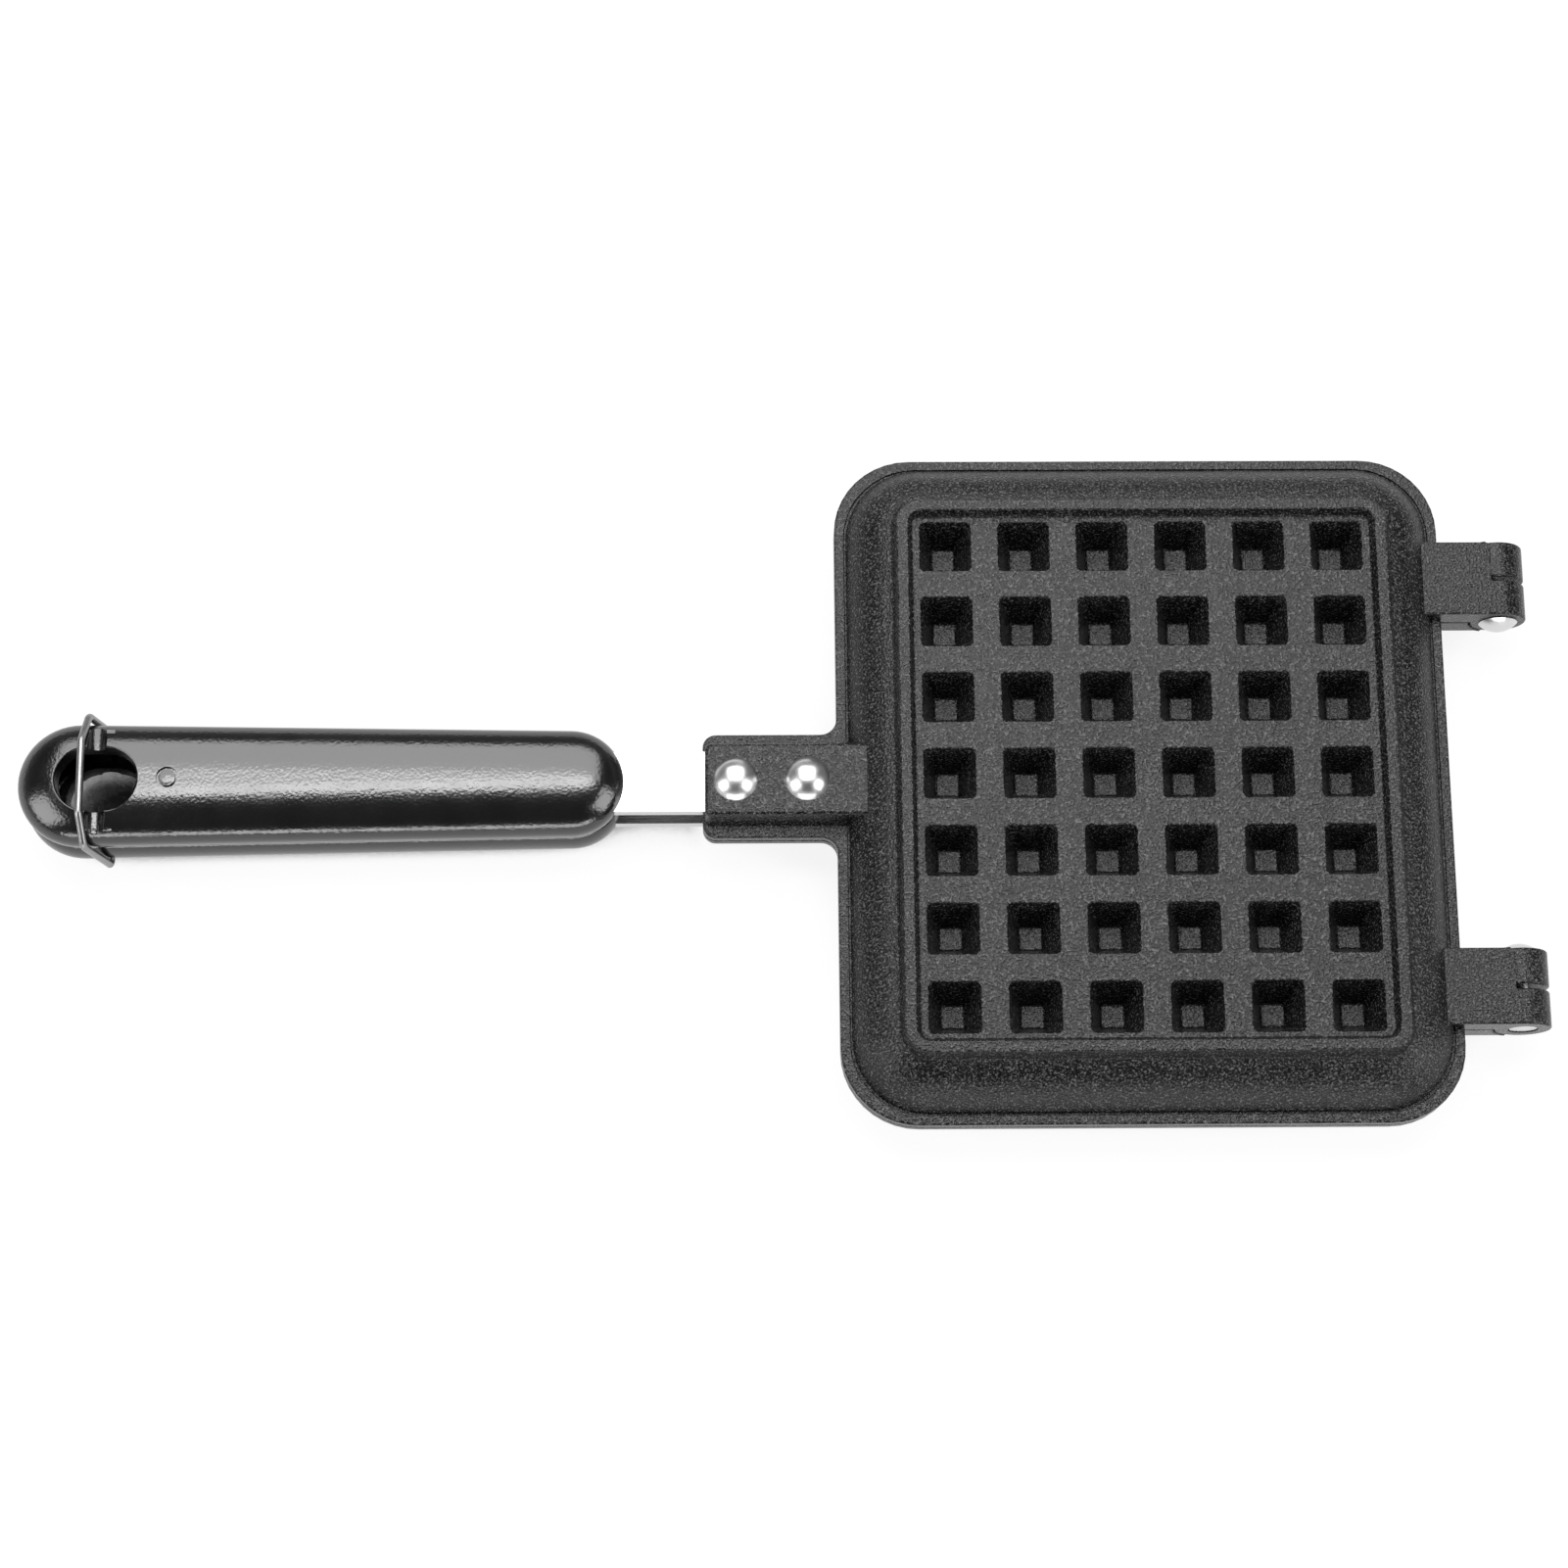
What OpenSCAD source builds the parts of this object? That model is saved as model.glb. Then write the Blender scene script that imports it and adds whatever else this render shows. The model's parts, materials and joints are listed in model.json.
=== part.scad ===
// Double-sided square waffle pan: two identical castings that face each other,
// hinged at one end, with a moulded handle on each and a wire bail that holds
// the handles together. Lengths are in millimetres. X runs from the handles to
// the hinge, Z is up, and the pan lies on the raised band of its lower plate.

/* [Grid] */
// number of pits from the handle side to the hinge side
pits_x = 6; // [5:1:7]
// number of pits across the pan
pits_y = 7; // [6:1:8]
// distance from one pit to the next
pit_pitch = 18; // [17:0.5:21]
// width of a pit at its mouth
pit_mouth = 11.7; // [10:0.1:12.2]
// width of a pit at its floor
pit_floor = 5.3; // [4:0.1:6.5]
// gap from the tip of a peg to the parting plane
peg_gap = 0.9; // [0.6:0.1:3]
// metal left beside and below a pit
pit_wall = 1.4; // [1:0.1:1.7]
// rounding of the upright corners of a pit
pit_corner = 1.1; // [0.6:0.1:1.6]
// panel left between the outer pits and the band, towards handle and hinge
margin_x = 1.85; // [1:0.05:4]
// panel left between the outer pits and the band, at the two sides
margin_y = 1.25; // [1:0.05:4]

/* [Plate] */
// height of one plate from the parting plane to the top of the band
plate_height = 15.6; // [15:0.1:18]
// how far the panel lies below the top of the band
panel_drop = 2.8; // [1.5:0.1:3.2]
// thickness of the panel between the pits
panel_skin = 2; // [1.6:0.1:2.6]
// width of the flat top of the band
band_width = 2.55; // [1.8:0.05:3.2]
// slope of the inner side of the band, measured along the panel
band_in = 0.9; // [0.4:0.05:1.3]
// slope of the outer side of the band, measured along the panel
band_out = 1; // [0.5:0.05:1.6]
// height of the outer side of the band
band_fall = 3.6; // [3:0.1:4.2]
// rounding of the outer corners of the band, seen from above
band_corner = 5.5; // [4.8:0.1:7]
// radius of the rounded shoulder around the band
shoulder_radius = 14.2; // [13:0.1:15]
// thickness of the shoulder wall
plate_wall = 2.4; // [2:0.1:3]
// thickness of the flange around the plate
flange_thick = 2.7; // [2.3:0.1:3.2]
// width of the flange outside the shoulder
flange_width = 2.8; // [1.8:0.05:5]
// rounding of the flange's corners, seen from above
flange_corner = 17.5; // [14:0.1:19]
// width of the fine groove at the foot of the shoulder
groove_width = 0.6; // [0.4:0.05:1]
// depth of that groove
groove_depth = 0.5; // [0.3:0.05:0.9]
// gap between the two plates where they close
parting_gap = 0.3; // [0.2:0.05:0.6]

/* [Tab] */
// reach of the tab from the flange towards the handle
tab_length = 30.15; // [28:0.05:40]
// height of the raised block on the tab above the parting plane
tab_height = 8.8; // [8.4:0.1:10]
// width of the flat top of that block
tab_top = 16.8; // [16:0.1:20]
// width of the block where it meets the flange
tab_foot = 18.8; // [18.2:0.1:22]
// width of the tab's flange
tab_width = 24.4; // [23:0.1:28]
// rounding of the block's front corners, seen from above
tab_corner = 1.5; // [1:0.1:3]
// rounding of the tab flange's front corners, seen from above
skirt_corner = 3; // [1.5:0.1:4]
// rounding between the tab and the plate, seen from above
tab_fillet = 3.8; // [2:0.1:6]
// reach of the tab flange in front of the block
tab_lip = 0.5; // [0.3:0.1:1.2]

/* [Hinge] */
// distance from the flange to the axis of the hinge
hinge_reach = 13.65; // [12:0.05:18]
// distance from the side of the flange to the middle of a hinge arm
hinge_inset = 30.35; // [27:0.05:34]
// width of a hinge arm
arm_width = 17.6; // [16:0.1:22]
// height of a hinge arm above the parting plane, and radius of its knuckle
knuckle_radius = 6.4; // [5.6:0.1:7]
// gap between two knuckles, measured along the pin
knuckle_gap = 1; // [0.6:0.1:1.6]
// gap between a knuckle and the arm that turns round it
knuckle_clear = 0.4; // [0.3:0.05:0.8]
// diameter of a hinge pin
pin_d = 4.5; // [3.5:0.1:5]
// diameter of the domed head of a hinge pin
pin_head_d = 8.9; // [8:0.1:10]
// height of that head
pin_head_h = 1.9; // [1.4:0.1:2.4]
// diameter of the peened end of a hinge pin
pin_tail_d = 6.2; // [5.6:0.1:6.8]
// depth of the recess that holds the peened end
pin_sink = 1.1; // [0.8:0.1:1.6]
// gap between a pin's head and the knuckle that turns under it
pin_play = 0.2; // [0.1:0.05:0.4]
// radial play of a pin in its bore
pin_fit = 0.05; // [0.02:0.01:0.1]

/* [Tang] */
// width of the steel tang
tang_width = 14; // [12:0.1:14.6]
// thickness of the steel tang
tang_thick = 3; // [2.4:0.1:3.2]
// length of tang that shows between tab and handle
tang_open = 18.2; // [12:0.1:30]
// length of tang hidden in the handle
tang_grip = 78; // [72:1:84]
// sideways play of the tang in its slots
tang_play = 0.15; // [0.1:0.05:0.3]
// metal of the tab above the tang
tab_roof = 2.1; // [1.8:0.1:2.4]
// distance between the two rivets of a tang
rivet_pitch = 16.3; // [14:0.1:17]
// distance from the front of the tab to the first rivet
rivet_edge = 6.9; // [6.6:0.1:9]
// diameter of a rivet's shank
rivet_d = 5; // [4:0.1:5.6]
// diameter of a rivet's domed head
rivet_head_d = 10.1; // [9:0.1:11]
// height of that head
rivet_head_h = 2.7; // [2:0.1:3.4]
// diameter of a rivet's clinched end
rivet_tail_d = 8; // [7:0.1:9]
// height of that end
rivet_tail_h = 1.5; // [1.2:0.1:2]

/* [Handle] */
// length of a handle
handle_length = 137.3; // [125:0.1:160]
// width of a handle at the end near the pan
handle_front_w = 24.6; // [24:0.1:27]
// width of a handle at its far end
handle_rear_w = 28.2; // [28:0.1:32]
// height of a handle's top above the parting plane
handle_top = 12.2; // [11.6:0.1:13]
// height of a handle's widest line above the parting plane
handle_waist = 5.2; // [4:0.1:6]
// half the gap between the two handles
handle_lift = 0.4; // [0.25:0.05:0.8]
// how far a handle's side draws in from its widest line to its open face
handle_tuck = 2.3; // [1.4:0.1:2.5]
// thickness of a handle's side wall
handle_wall = 4; // [3.7:0.1:4.1]
// thickness of a handle's roof
handle_roof = 2.4; // [2:0.1:2.8]
// distance from a handle's far end to the middle of its hanging hole
hole_inset = 18.4; // [17:0.1:22]
// length of the hanging hole
hole_length = 18.5; // [16:0.1:20]
// width of the hanging hole
hole_width = 14.6; // [12:0.1:15]
// thickness of the collar inside the hanging hole
collar_wall = 1.6; // [1.2:0.1:2]
// depth of that collar below the roof
collar_depth = 4; // [3:0.1:5]
// width of the notches beside the hanging hole
notch_width = 4.4; // [3.6:0.1:5]
// depth of those notches below the top of the handle
notch_depth = 3.2; // [2.6:0.1:3.6]
// diameter of the round mark behind the hanging hole
mark_d = 5; // [3:0.1:6]
// distance from the hanging hole's middle to that mark
mark_step = 16.1; // [14:0.1:20]
// depth of the mark
mark_depth = 0.4; // [0.2:0.05:0.8]

/* [Screws] */
// distance from the handle's front end to its first screw
screw_first = 22; // [18:0.5:26]
// distance from the far end of the tang to the second screw
screw_edge = 10; // [7:0.5:14]
// diameter of a screw's shank
screw_d = 4; // [3:0.1:4.4]
// diameter of a screw's head
screw_head_d = 7.6; // [6.8:0.1:8.2]
// height of a screw's head
screw_head_h = 2; // [1.6:0.1:2.4]
// length of a screw's shank above its head
screw_length = 6.4; // [5.6:0.1:6.8]
// diameter of the boss that takes a screw
boss_d = 8.4; // [7.6:0.1:9]

/* [Latch] */
// diameter of the bail's wire
wire_d = 1.7; // [1.4:0.1:2]
// distance from the hanging hole's middle to the bail's pivot
latch_step = 1.2; // [0:0.1:2.4]
// height of the bail's pivot below the parting plane
latch_drop = 7.5; // [6.8:0.1:7.8]
// half the length of the bail's straight top
bail_half = 8.5; // [7:0.1:9]
// height of the bail's bends below its top
bail_fall = 4.2; // [3.4:0.1:5]
// angle at which the closed bail leans away from the pan
bail_lean = 12; // [8:0.5:14]
// gap between the bail and the handles
bail_clear = 0.3; // [0.2:0.05:0.5]
// length of a pivot end inside the handle's wall
bail_grip = 4.6; // [4:0.1:5.5]
// radial play of a pivot end in its hole
bail_fit = 0.08; // [0.03:0.01:0.1]

/* [Hidden] */
$fn = 64;
cut = 1;
arc_steps = 10;
crown_steps = 10;
crown_power = 2.2;
shoulder_from = 12;
shoulder_to = 68;
corner_steps = 3;
tuck_steps = 3;
end_sides = 48;

// outward lean of the inner wall below the shoulder's curve
foot_draft = 0.4;
// metal between the tang's trough and the shoulder
slot_back = 1;
// curve between a handle's side wall and its roof, and how far its end
// slopes draw in as a share of it
cove = 2.2;
cove_share = 0.3;
// plastic left below the notches in a handle
notch_skin = 2;
// space above the end of a screw
screw_gap = 0.4;

// half sizes of the outer edge of the band
band_x = (pits_x - 1) * pit_pitch / 2 + pit_mouth / 2 + margin_x + band_in + band_width;
band_y = (pits_y - 1) * pit_pitch / 2 + pit_mouth / 2 + margin_y + band_in + band_width;

// levels of one plate above the parting plane
land_z = parting_gap / 2;
panel_z = plate_height - panel_drop;
ceiling_z = panel_z - panel_skin;
shoulder_z = plate_height - band_fall;

// rim section, measured outwards from the outer edge of the band
arc_a = band_out - shoulder_radius * sin(shoulder_from);
arc_z = shoulder_z - shoulder_radius * cos(shoulder_from);
foot_a = arc_a + shoulder_radius * sin(shoulder_to);
inner_radius = shoulder_radius - plate_wall;
plate_x = band_x + foot_a + flange_width;
plate_y = band_y + foot_a + flange_width;
inner_foot_a = arc_a + inner_radius * sin(shoulder_to) + foot_draft;

// pits and the pegs around them
pit_depth = panel_z - pit_wall - peg_gap;
pit_slope = (pit_mouth - pit_floor) / 2 / pit_depth;
peg_spread = pit_wall * sqrt(1 + pit_slope * pit_slope);
peg_root = panel_skin / 2;
peg_height = pit_depth + pit_wall - peg_root;
peg_root_half = pit_mouth / 2 - pit_slope * peg_root + peg_spread;
peg_tip_half = peg_root_half - pit_slope * peg_height;

// tab, tang and rivets
tab_x = -(plate_x + tab_length);
slot_end_x = -(plate_x - flange_width + slot_back);
tang_top_z = tab_height - tab_roof;
tang_low_z = tang_top_z - tang_thick;
rivet_front_x = tab_x + rivet_edge;
rivet_rear_x = rivet_front_x + rivet_pitch;
rivet_fit = 0.05;

// hinge
hinge_x = plate_x + hinge_reach;
arm_y = plate_y - hinge_inset;
arm_near_y = arm_y - arm_width / 2;
arm_far_y = arm_y + arm_width / 2;
knuckle_length = (arm_width - knuckle_gap) / 2;
pin_sink_play = 0.3;
pin_tail_h = 0.8 * pin_sink;

// handle
front_r = handle_front_w / 2;
rear_r = handle_rear_w / 2;
handle_x = tab_x - tang_open;
rear_x = handle_x - handle_length;
front_cx = handle_x - front_r;
rear_cx = rear_x + rear_r;
hole_x = rear_x + hole_inset;
tang_end_x = handle_x - tang_grip;
roof_z = handle_top - handle_roof;
screw_front_x = handle_x - screw_first;
screw_rear_x = tang_end_x + screw_edge;
screw_fit = 0.05;

// latch
pivot_x = hole_x + latch_step;
leg_y = rear_r + bail_clear + wire_d / 2;
bail_rise = (handle_top + bail_clear + wire_d / 2 + latch_drop) / cos(bail_lean);
bail_bend = 1.2 * wire_d;
bend_lap = 0.06;
bend_swell = 1.02;
pivot_bend = wire_d / 2 + 0.8 * bail_clear;
bail_inner_y = leg_y - bail_grip;

// the pan's box is centred on the frame and stands on the lower band
shift_x = -(rear_x + hinge_x + knuckle_radius) / 2;

// square outline with rounded corners
function square_points(half, r) = [
  for (q = [0 : 3])
    for (i = [0 : corner_steps])
      let (t = q * 90 + 90 * i / corner_steps)
      let (cx = (q == 0 || q == 3) ? half - r : r - half)
      let (cy = (q < 2) ? half - r : r - half)
      [cx + r * cos(t), cy + r * sin(t)]
];

// points on the shoulder's curve, from the band down to the flange
function shoulder_points(r) = [
  for (i = [0 : arc_steps])
    let (t = shoulder_from + (shoulder_to - shoulder_from) * i / arc_steps)
    [arc_a + r * sin(t), arc_z + r * cos(t)]
];

function reversed(list) = [for (i = [len(list) - 1 : -1 : 0]) list[i]];

rim_outside = concat(
  [
    [-band_corner, land_z],
    [-band_corner, panel_z],
    [-band_in - band_width, panel_z],
    [-band_width, plate_height],
    [0, plate_height]
  ],
  shoulder_points(shoulder_radius),
  [[foot_a, land_z]]
);

// section of the groove around the foot of the shoulder
rim_groove = [
  [foot_a - groove_width / 2, flange_thick - groove_depth],
  [foot_a + groove_width, flange_thick - groove_depth],
  [foot_a + groove_width, flange_thick + cut],
  [foot_a - groove_width / 2, flange_thick + cut]
];

rim_inside = concat(
  [
    [-band_corner, land_z - cut],
    [-band_corner, ceiling_z],
    [0, ceiling_z]
  ],
  shoulder_points(inner_radius),
  [[inner_foot_a, land_z - cut]]
);

// carries a section round the rounded rectangle of the band
module around_band(section) {
  run_x = band_x - band_corner;
  run_y = band_y - band_corner;
  for (s = [0, 180])
    rotate([0, 0, s])
      translate([-run_x, run_y + band_corner, 0])
        rotate([90, 0, 90])
          linear_extrude(height = 2 * run_x)
            polygon(section);
  for (s = [0, 180])
    rotate([0, 0, s])
      translate([run_x + band_corner, run_y, 0])
        rotate([90, 0, 0])
          linear_extrude(height = 2 * run_y)
            polygon(section);
  for (c = [[1, 1, 0], [-1, 1, 90], [-1, -1, 180], [1, -1, 270]])
    translate([c[0] * run_x, c[1] * run_y, 0])
      rotate([0, 0, c[2]])
        rotate_extrude(angle = 90)
          translate([band_corner, 0])
            polygon(section);
}

module slab(x, y, low, high) {
  translate([-x, -y, low])
    cube([2 * x, 2 * y, high - low]);
}

// flat flange with rounded corners, and a fine groove around the shoulder
module flange() {
  run_x = plate_x - flange_corner;
  run_y = plate_y - flange_corner;
  difference() {
    translate([0, 0, land_z])
      linear_extrude(height = flange_thick - land_z) {
        square([2 * plate_x, 2 * run_y], center = true);
        square([2 * run_x, 2 * plate_y], center = true);
        for (x = [-run_x, run_x])
          for (y = [-run_y, run_y])
            translate([x, y])
              circle(flange_corner);
      }
    around_band(rim_groove);
  }
}

// places its children at every pit of the grid
module each_pit() {
  for (i = [0 : pits_x - 1])
    for (j = [0 : pits_y - 1])
      translate([(i - (pits_x - 1) / 2) * pit_pitch, (j - (pits_y - 1) / 2) * pit_pitch, 0])
        children();
}

module peg() {
  translate([0, 0, panel_z - peg_root])
    mirror([0, 0, 1])
      linear_extrude(height = peg_height, scale = peg_tip_half / peg_root_half)
        polygon(square_points(peg_root_half, pit_corner + pit_wall));
}

module pit() {
  over = panel_skin / 10;
  top_half = pit_mouth / 2 + pit_slope * over;
  translate([0, 0, panel_z + over])
    mirror([0, 0, 1])
      linear_extrude(height = pit_depth + over, scale = pit_floor / 2 / top_half)
        polygon(square_points(top_half, pit_corner));
}

// outline from x0 to x1 with both corners at x0 rounded
module rounded_plan(x0, x1, half, r) {
  translate([x0 + r, -half])
    square([x1 - x0 - r, 2 * half]);
  translate([x0, r - half])
    square([r + r / 2, 2 * (half - r)]);
  for (s = [-1, 1])
    translate([x0 + r, s * (half - r)])
      circle(r);
}

// flange and raised block of the tab, solid
module tab() {
  block_end = -(band_x + band_out);
  skirt_end = -(plate_x - flange_width);
  root_x = -plate_x;
  translate([0, 0, land_z])
    linear_extrude(height = flange_thick - land_z)
      rounded_plan(tab_x - tab_lip, skirt_end, tab_width / 2, skirt_corner);
  for (s = [-1, 1])
    translate([0, 0, land_z])
      linear_extrude(height = flange_thick - land_z)
        difference() {
          translate([root_x - tab_fillet, s > 0 ? tab_width / 2 - cut : -tab_width / 2 - tab_fillet])
            square([tab_fillet + flange_width / 2, tab_fillet + cut]);
          translate([root_x - tab_fillet, s * (tab_width / 2 + tab_fillet)])
            circle(tab_fillet);
        }
  intersection() {
    translate([0, 0, land_z])
      linear_extrude(height = tab_height - land_z)
        rounded_plan(tab_x, block_end, tab_foot / 2, tab_corner);
    translate([tab_x - cut, 0, 0])
      rotate([90, 0, 90])
        linear_extrude(height = block_end - tab_x + 2 * cut)
          polygon([
            [-tab_foot / 2, 0],
            [tab_foot / 2, 0],
            [tab_foot / 2, flange_thick],
            [tab_top / 2, tab_height],
            [-tab_top / 2, tab_height],
            [-tab_foot / 2, flange_thick]
          ]);
  }
}

// trough in the tab that takes the tang, and the two rivet holes
module tab_cuts() {
  half = tang_width / 2 + tang_play;
  translate([tab_x - tab_lip - cut, -half, land_z - cut])
    cube([slot_end_x - tab_x + tab_lip + cut, 2 * half, tang_top_z - land_z + cut]);
  for (x = [rivet_front_x, rivet_rear_x])
    translate([x, 0, tang_low_z])
      cylinder(d = rivet_d + 2 * rivet_fit, h = tab_height);
}

// solid arm with a knuckle on its half towards negative Y
module arm(y) {
  root_x = band_x + band_out;
  translate([root_x, y - arm_width / 2, land_z])
    cube([hinge_x - root_x, arm_width, knuckle_radius - land_z]);
  translate([hinge_x, y - arm_width / 2 + knuckle_length, 0])
    rotate([90, 0, 0])
      cylinder(r = knuckle_radius, h = knuckle_length);
}

module arm_cuts(y) {
  split = y - arm_width / 2 + knuckle_length;
  translate([hinge_x, y + arm_width / 2 + cut, 0])
    rotate([90, 0, 0])
      cylinder(r = knuckle_radius + knuckle_clear, h = y + arm_width / 2 + cut - split);
  translate([hinge_x, y + arm_width / 2 + cut, 0])
    rotate([90, 0, 0])
      cylinder(d = pin_d + 2 * pin_fit, h = arm_width + 2 * cut);
}

// One casting as it lies in the upper place. The lower one is the same
// casting turned half round about the X axis.
module casting() {
  difference() {
    union() {
      difference() {
        union() {
          flange();
          around_band(rim_outside);
          slab(band_x - band_corner, band_y - band_corner, land_z, panel_z);
          tab();
          for (y = [arm_y, -arm_y])
            arm(y);
        }
        around_band(rim_inside);
        slab(band_x - band_corner, band_y - band_corner, land_z - cut, ceiling_z);
      }
      each_pit()
        peg();
    }
    each_pit()
      pit();
    tab_cuts();
    for (y = [arm_y, -arm_y])
      arm_cuts(y);
    translate([hinge_x, -arm_far_y - cut, 0])
      rotate([-90, 0, 0])
        cylinder(d = pin_tail_d + 2 * pin_sink_play, h = pin_sink + cut);
  }
}

module tang() {
  length = slot_end_x - tang_play - tang_end_x;
  difference() {
    translate([tang_end_x, -tang_width / 2, tang_low_z])
      cube([length, tang_width, tang_thick]);
    for (x = [rivet_front_x, rivet_rear_x])
      translate([x, 0, tang_low_z - cut])
        cylinder(d = rivet_d + 2 * rivet_fit, h = tang_thick + 2 * cut);
    for (x = [screw_front_x, screw_rear_x])
      translate([x, 0, tang_low_z - cut])
        cylinder(d = screw_d + 2 * screw_fit, h = tang_thick + 2 * cut);
  }
}

// low dome of a given diameter and height, its flat side at zero
module dome(d, h) {
  r = (d * d / 4 + h * h) / (2 * h);
  intersection() {
    translate([0, 0, h - r])
      sphere(r);
    cylinder(d = d, h = h);
  }
}

module rivet(x) {
  translate([x, 0, tab_height])
    dome(rivet_head_d, rivet_head_h);
  translate([x, 0, tang_low_z])
    cylinder(d = rivet_d, h = tab_height - tang_low_z);
  translate([x, 0, tang_low_z - rivet_tail_h])
    cylinder(d = rivet_tail_d, h = rivet_tail_h);
}

// pin of the hinge at positive Y: its head looks to the middle of the pan
module hinge_pin() {
  head_y = arm_near_y - pin_play;
  tail_y = arm_far_y - pin_sink;
  translate([hinge_x, head_y, 0])
    rotate([90, 0, 0])
      dome(pin_head_d, pin_head_h);
  translate([hinge_x, head_y, 0])
    rotate([-90, 0, 0])
      cylinder(d = pin_d, h = tail_y - head_y);
  translate([hinge_x, tail_y, 0])
    rotate([-90, 0, 0])
      cylinder(d = pin_tail_d, h = pin_tail_h);
}

// outer section of a handle at an end of radius r: distance from the end's
// axis and height, up the tucked side and over the crown
function handle_outside(r) = concat(
  [
    [0, handle_lift],
    [r - handle_tuck, handle_lift]
  ],
  [
    for (i = [1 : tuck_steps])
      let (t = 90 * i / tuck_steps)
      [
        r - handle_tuck * (1 - sin(t)),
        handle_waist - (handle_waist - handle_lift) * cos(t)
      ]
  ],
  [
    for (i = [1 : crown_steps])
      let (t = 90 * i / crown_steps)
      let (p = 2 / crown_power)
      [
        max(0, r - front_r * (1 - pow(cos(t), p))),
        handle_waist + (handle_top - handle_waist) * pow(sin(t), p)
      ]
  ],
  [
    [0, handle_top]
  ]
);

// section of a handle's hollow at an end of radius r
function handle_inside(r) = [
  [0, handle_lift - cut],
  [r - handle_wall, handle_lift - cut],
  [r - handle_wall, roof_z - cove],
  [r - handle_wall - cove_share * cove, roof_z - cove_share * cove],
  [r - handle_wall - cove, roof_z],
  [0, roof_z]
];

// body stretched between the round front end and the round rear end
module stretched(front, rear) {
  hull() {
    translate([front_cx, 0, 0])
      rotate_extrude($fn = end_sides)
        polygon(front);
    translate([rear_cx, 0, 0])
      rotate_extrude($fn = end_sides)
        polygon(rear);
  }
}

// rounded slot outline of the hanging hole, grown by a margin
module hole_plan(grow) {
  r = hole_width / 2 + grow;
  half = (hole_length - hole_width) / 2;
  for (s = [-1, 1])
    translate([hole_x + s * half, 0])
      circle(r);
  translate([hole_x - half, -r])
    square([2 * half, 2 * r]);
}

module notch() {
  r = notch_width / 2;
  floor_z = handle_top - notch_depth;
  start = hole_width / 2 - r / 2;
  for (s = [0, 1])
    mirror([0, s, 0]) {
      translate([hole_x, rear_r + cut, floor_z + r])
        rotate([90, 0, 0])
          cylinder(r = r, h = rear_r + cut - start);
      translate([hole_x - r, start, floor_z + r])
        cube([notch_width, rear_r + cut - start, handle_top]);
    }
}

module handle(pivoted) {
  half = tang_width / 2 + tang_play;
  notch_bed = handle_top - notch_depth - notch_skin;
  slot_run = handle_wall + front_r / 2;
  difference() {
    union() {
      difference() {
        stretched(handle_outside(front_r), handle_outside(rear_r));
        stretched(handle_inside(front_r), handle_inside(rear_r));
      }
      for (x = [screw_front_x, screw_rear_x])
        translate([x, 0, tang_top_z])
          cylinder(d = boss_d, h = roof_z + handle_roof / 2 - tang_top_z);
      translate([0, 0, roof_z - collar_depth])
        linear_extrude(height = collar_depth + handle_roof / 2)
          hole_plan(collar_wall);
      translate([hole_x - notch_width / 2 - collar_wall, -rear_r + handle_tuck, notch_bed])
        cube([notch_width + 2 * collar_wall, 2 * (rear_r - handle_tuck), roof_z - notch_bed]);
    }
    translate([0, 0, handle_lift - cut])
      linear_extrude(height = handle_top + 2 * cut)
        hole_plan(0);
    notch();
    translate([hole_x + mark_step, 0, handle_top - mark_depth])
      cylinder(d = mark_d, h = mark_depth + cut);
    translate([handle_x - slot_run, -half, tang_low_z - tang_play])
      cube([slot_run + cut, 2 * half, tang_thick + 2 * tang_play]);
    for (x = [screw_front_x, screw_rear_x])
      translate([x, 0, tang_top_z - cut])
        cylinder(d = screw_d + 2 * screw_fit, h = screw_length - tang_thick + cut + screw_gap);
    if (pivoted)
      for (s = [0, 1])
        mirror([0, s, 0])
          translate([pivot_x, rear_r + cut, latch_drop])
            rotate([90, 0, 0])
              cylinder(d = wire_d + 2 * bail_fit, h = rear_r + cut - bail_inner_y + bail_clear);
  }
}

module screw(x) {
  translate([x, 0, tang_low_z])
    cylinder(d = screw_d, h = screw_length);
  translate([x, 0, tang_low_z - screw_head_h / 2])
    cylinder(d = screw_head_d, h = screw_head_h / 2);
  translate([x, 0, tang_low_z - screw_head_h / 2])
    mirror([0, 0, 1])
      dome(screw_head_d, screw_head_h / 2);
}

// direction of each straight piece of the bail, in degrees
function heading(p, i) = atan2(p[i + 1][1] - p[i][1], p[i + 1][0] - p[i][0]);

function turned(p, i) =
  let (t = heading(p, i) - heading(p, i - 1))
  t > 180 ? t - 360 : (t < -180 ? t + 360 : t);

// length of a straight piece that a bend of radius r takes away at point i
function trim(p, r, i) =
  (i == 0 || i == len(p) - 1) ? 0 : r[i] * tan(abs(turned(p, i)) / 2);

// round wire through points in one plane, with a bend of radius r at each
module wire(p, r) {
  for (i = [0 : len(p) - 2]) {
    from = max(0, trim(p, r, i) - bend_lap);
    to = max(0, trim(p, r, i + 1) - bend_lap);
    length = norm(p[i + 1] - p[i]) - from - to;
    translate([p[i][0], p[i][1], 0])
      rotate([0, 0, heading(p, i)])
        translate([from, 0, 0])
          rotate([0, 90, 0])
            cylinder(d = wire_d, h = length);
  }
  for (i = [1 : len(p) - 2]) {
    turn = turned(p, i);
    side = sign(turn);
    translate([p[i][0], p[i][1], 0])
      rotate([0, 0, heading(p, i - 1)])
        translate([-trim(p, r, i), side * r[i], 0])
          rotate([0, 0, side > 0 ? -90 : 90 + turn])
            rotate_extrude(angle = abs(turn))
              translate([r[i], 0])
                circle(d = wire_d * bend_swell);
  }
}

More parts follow.
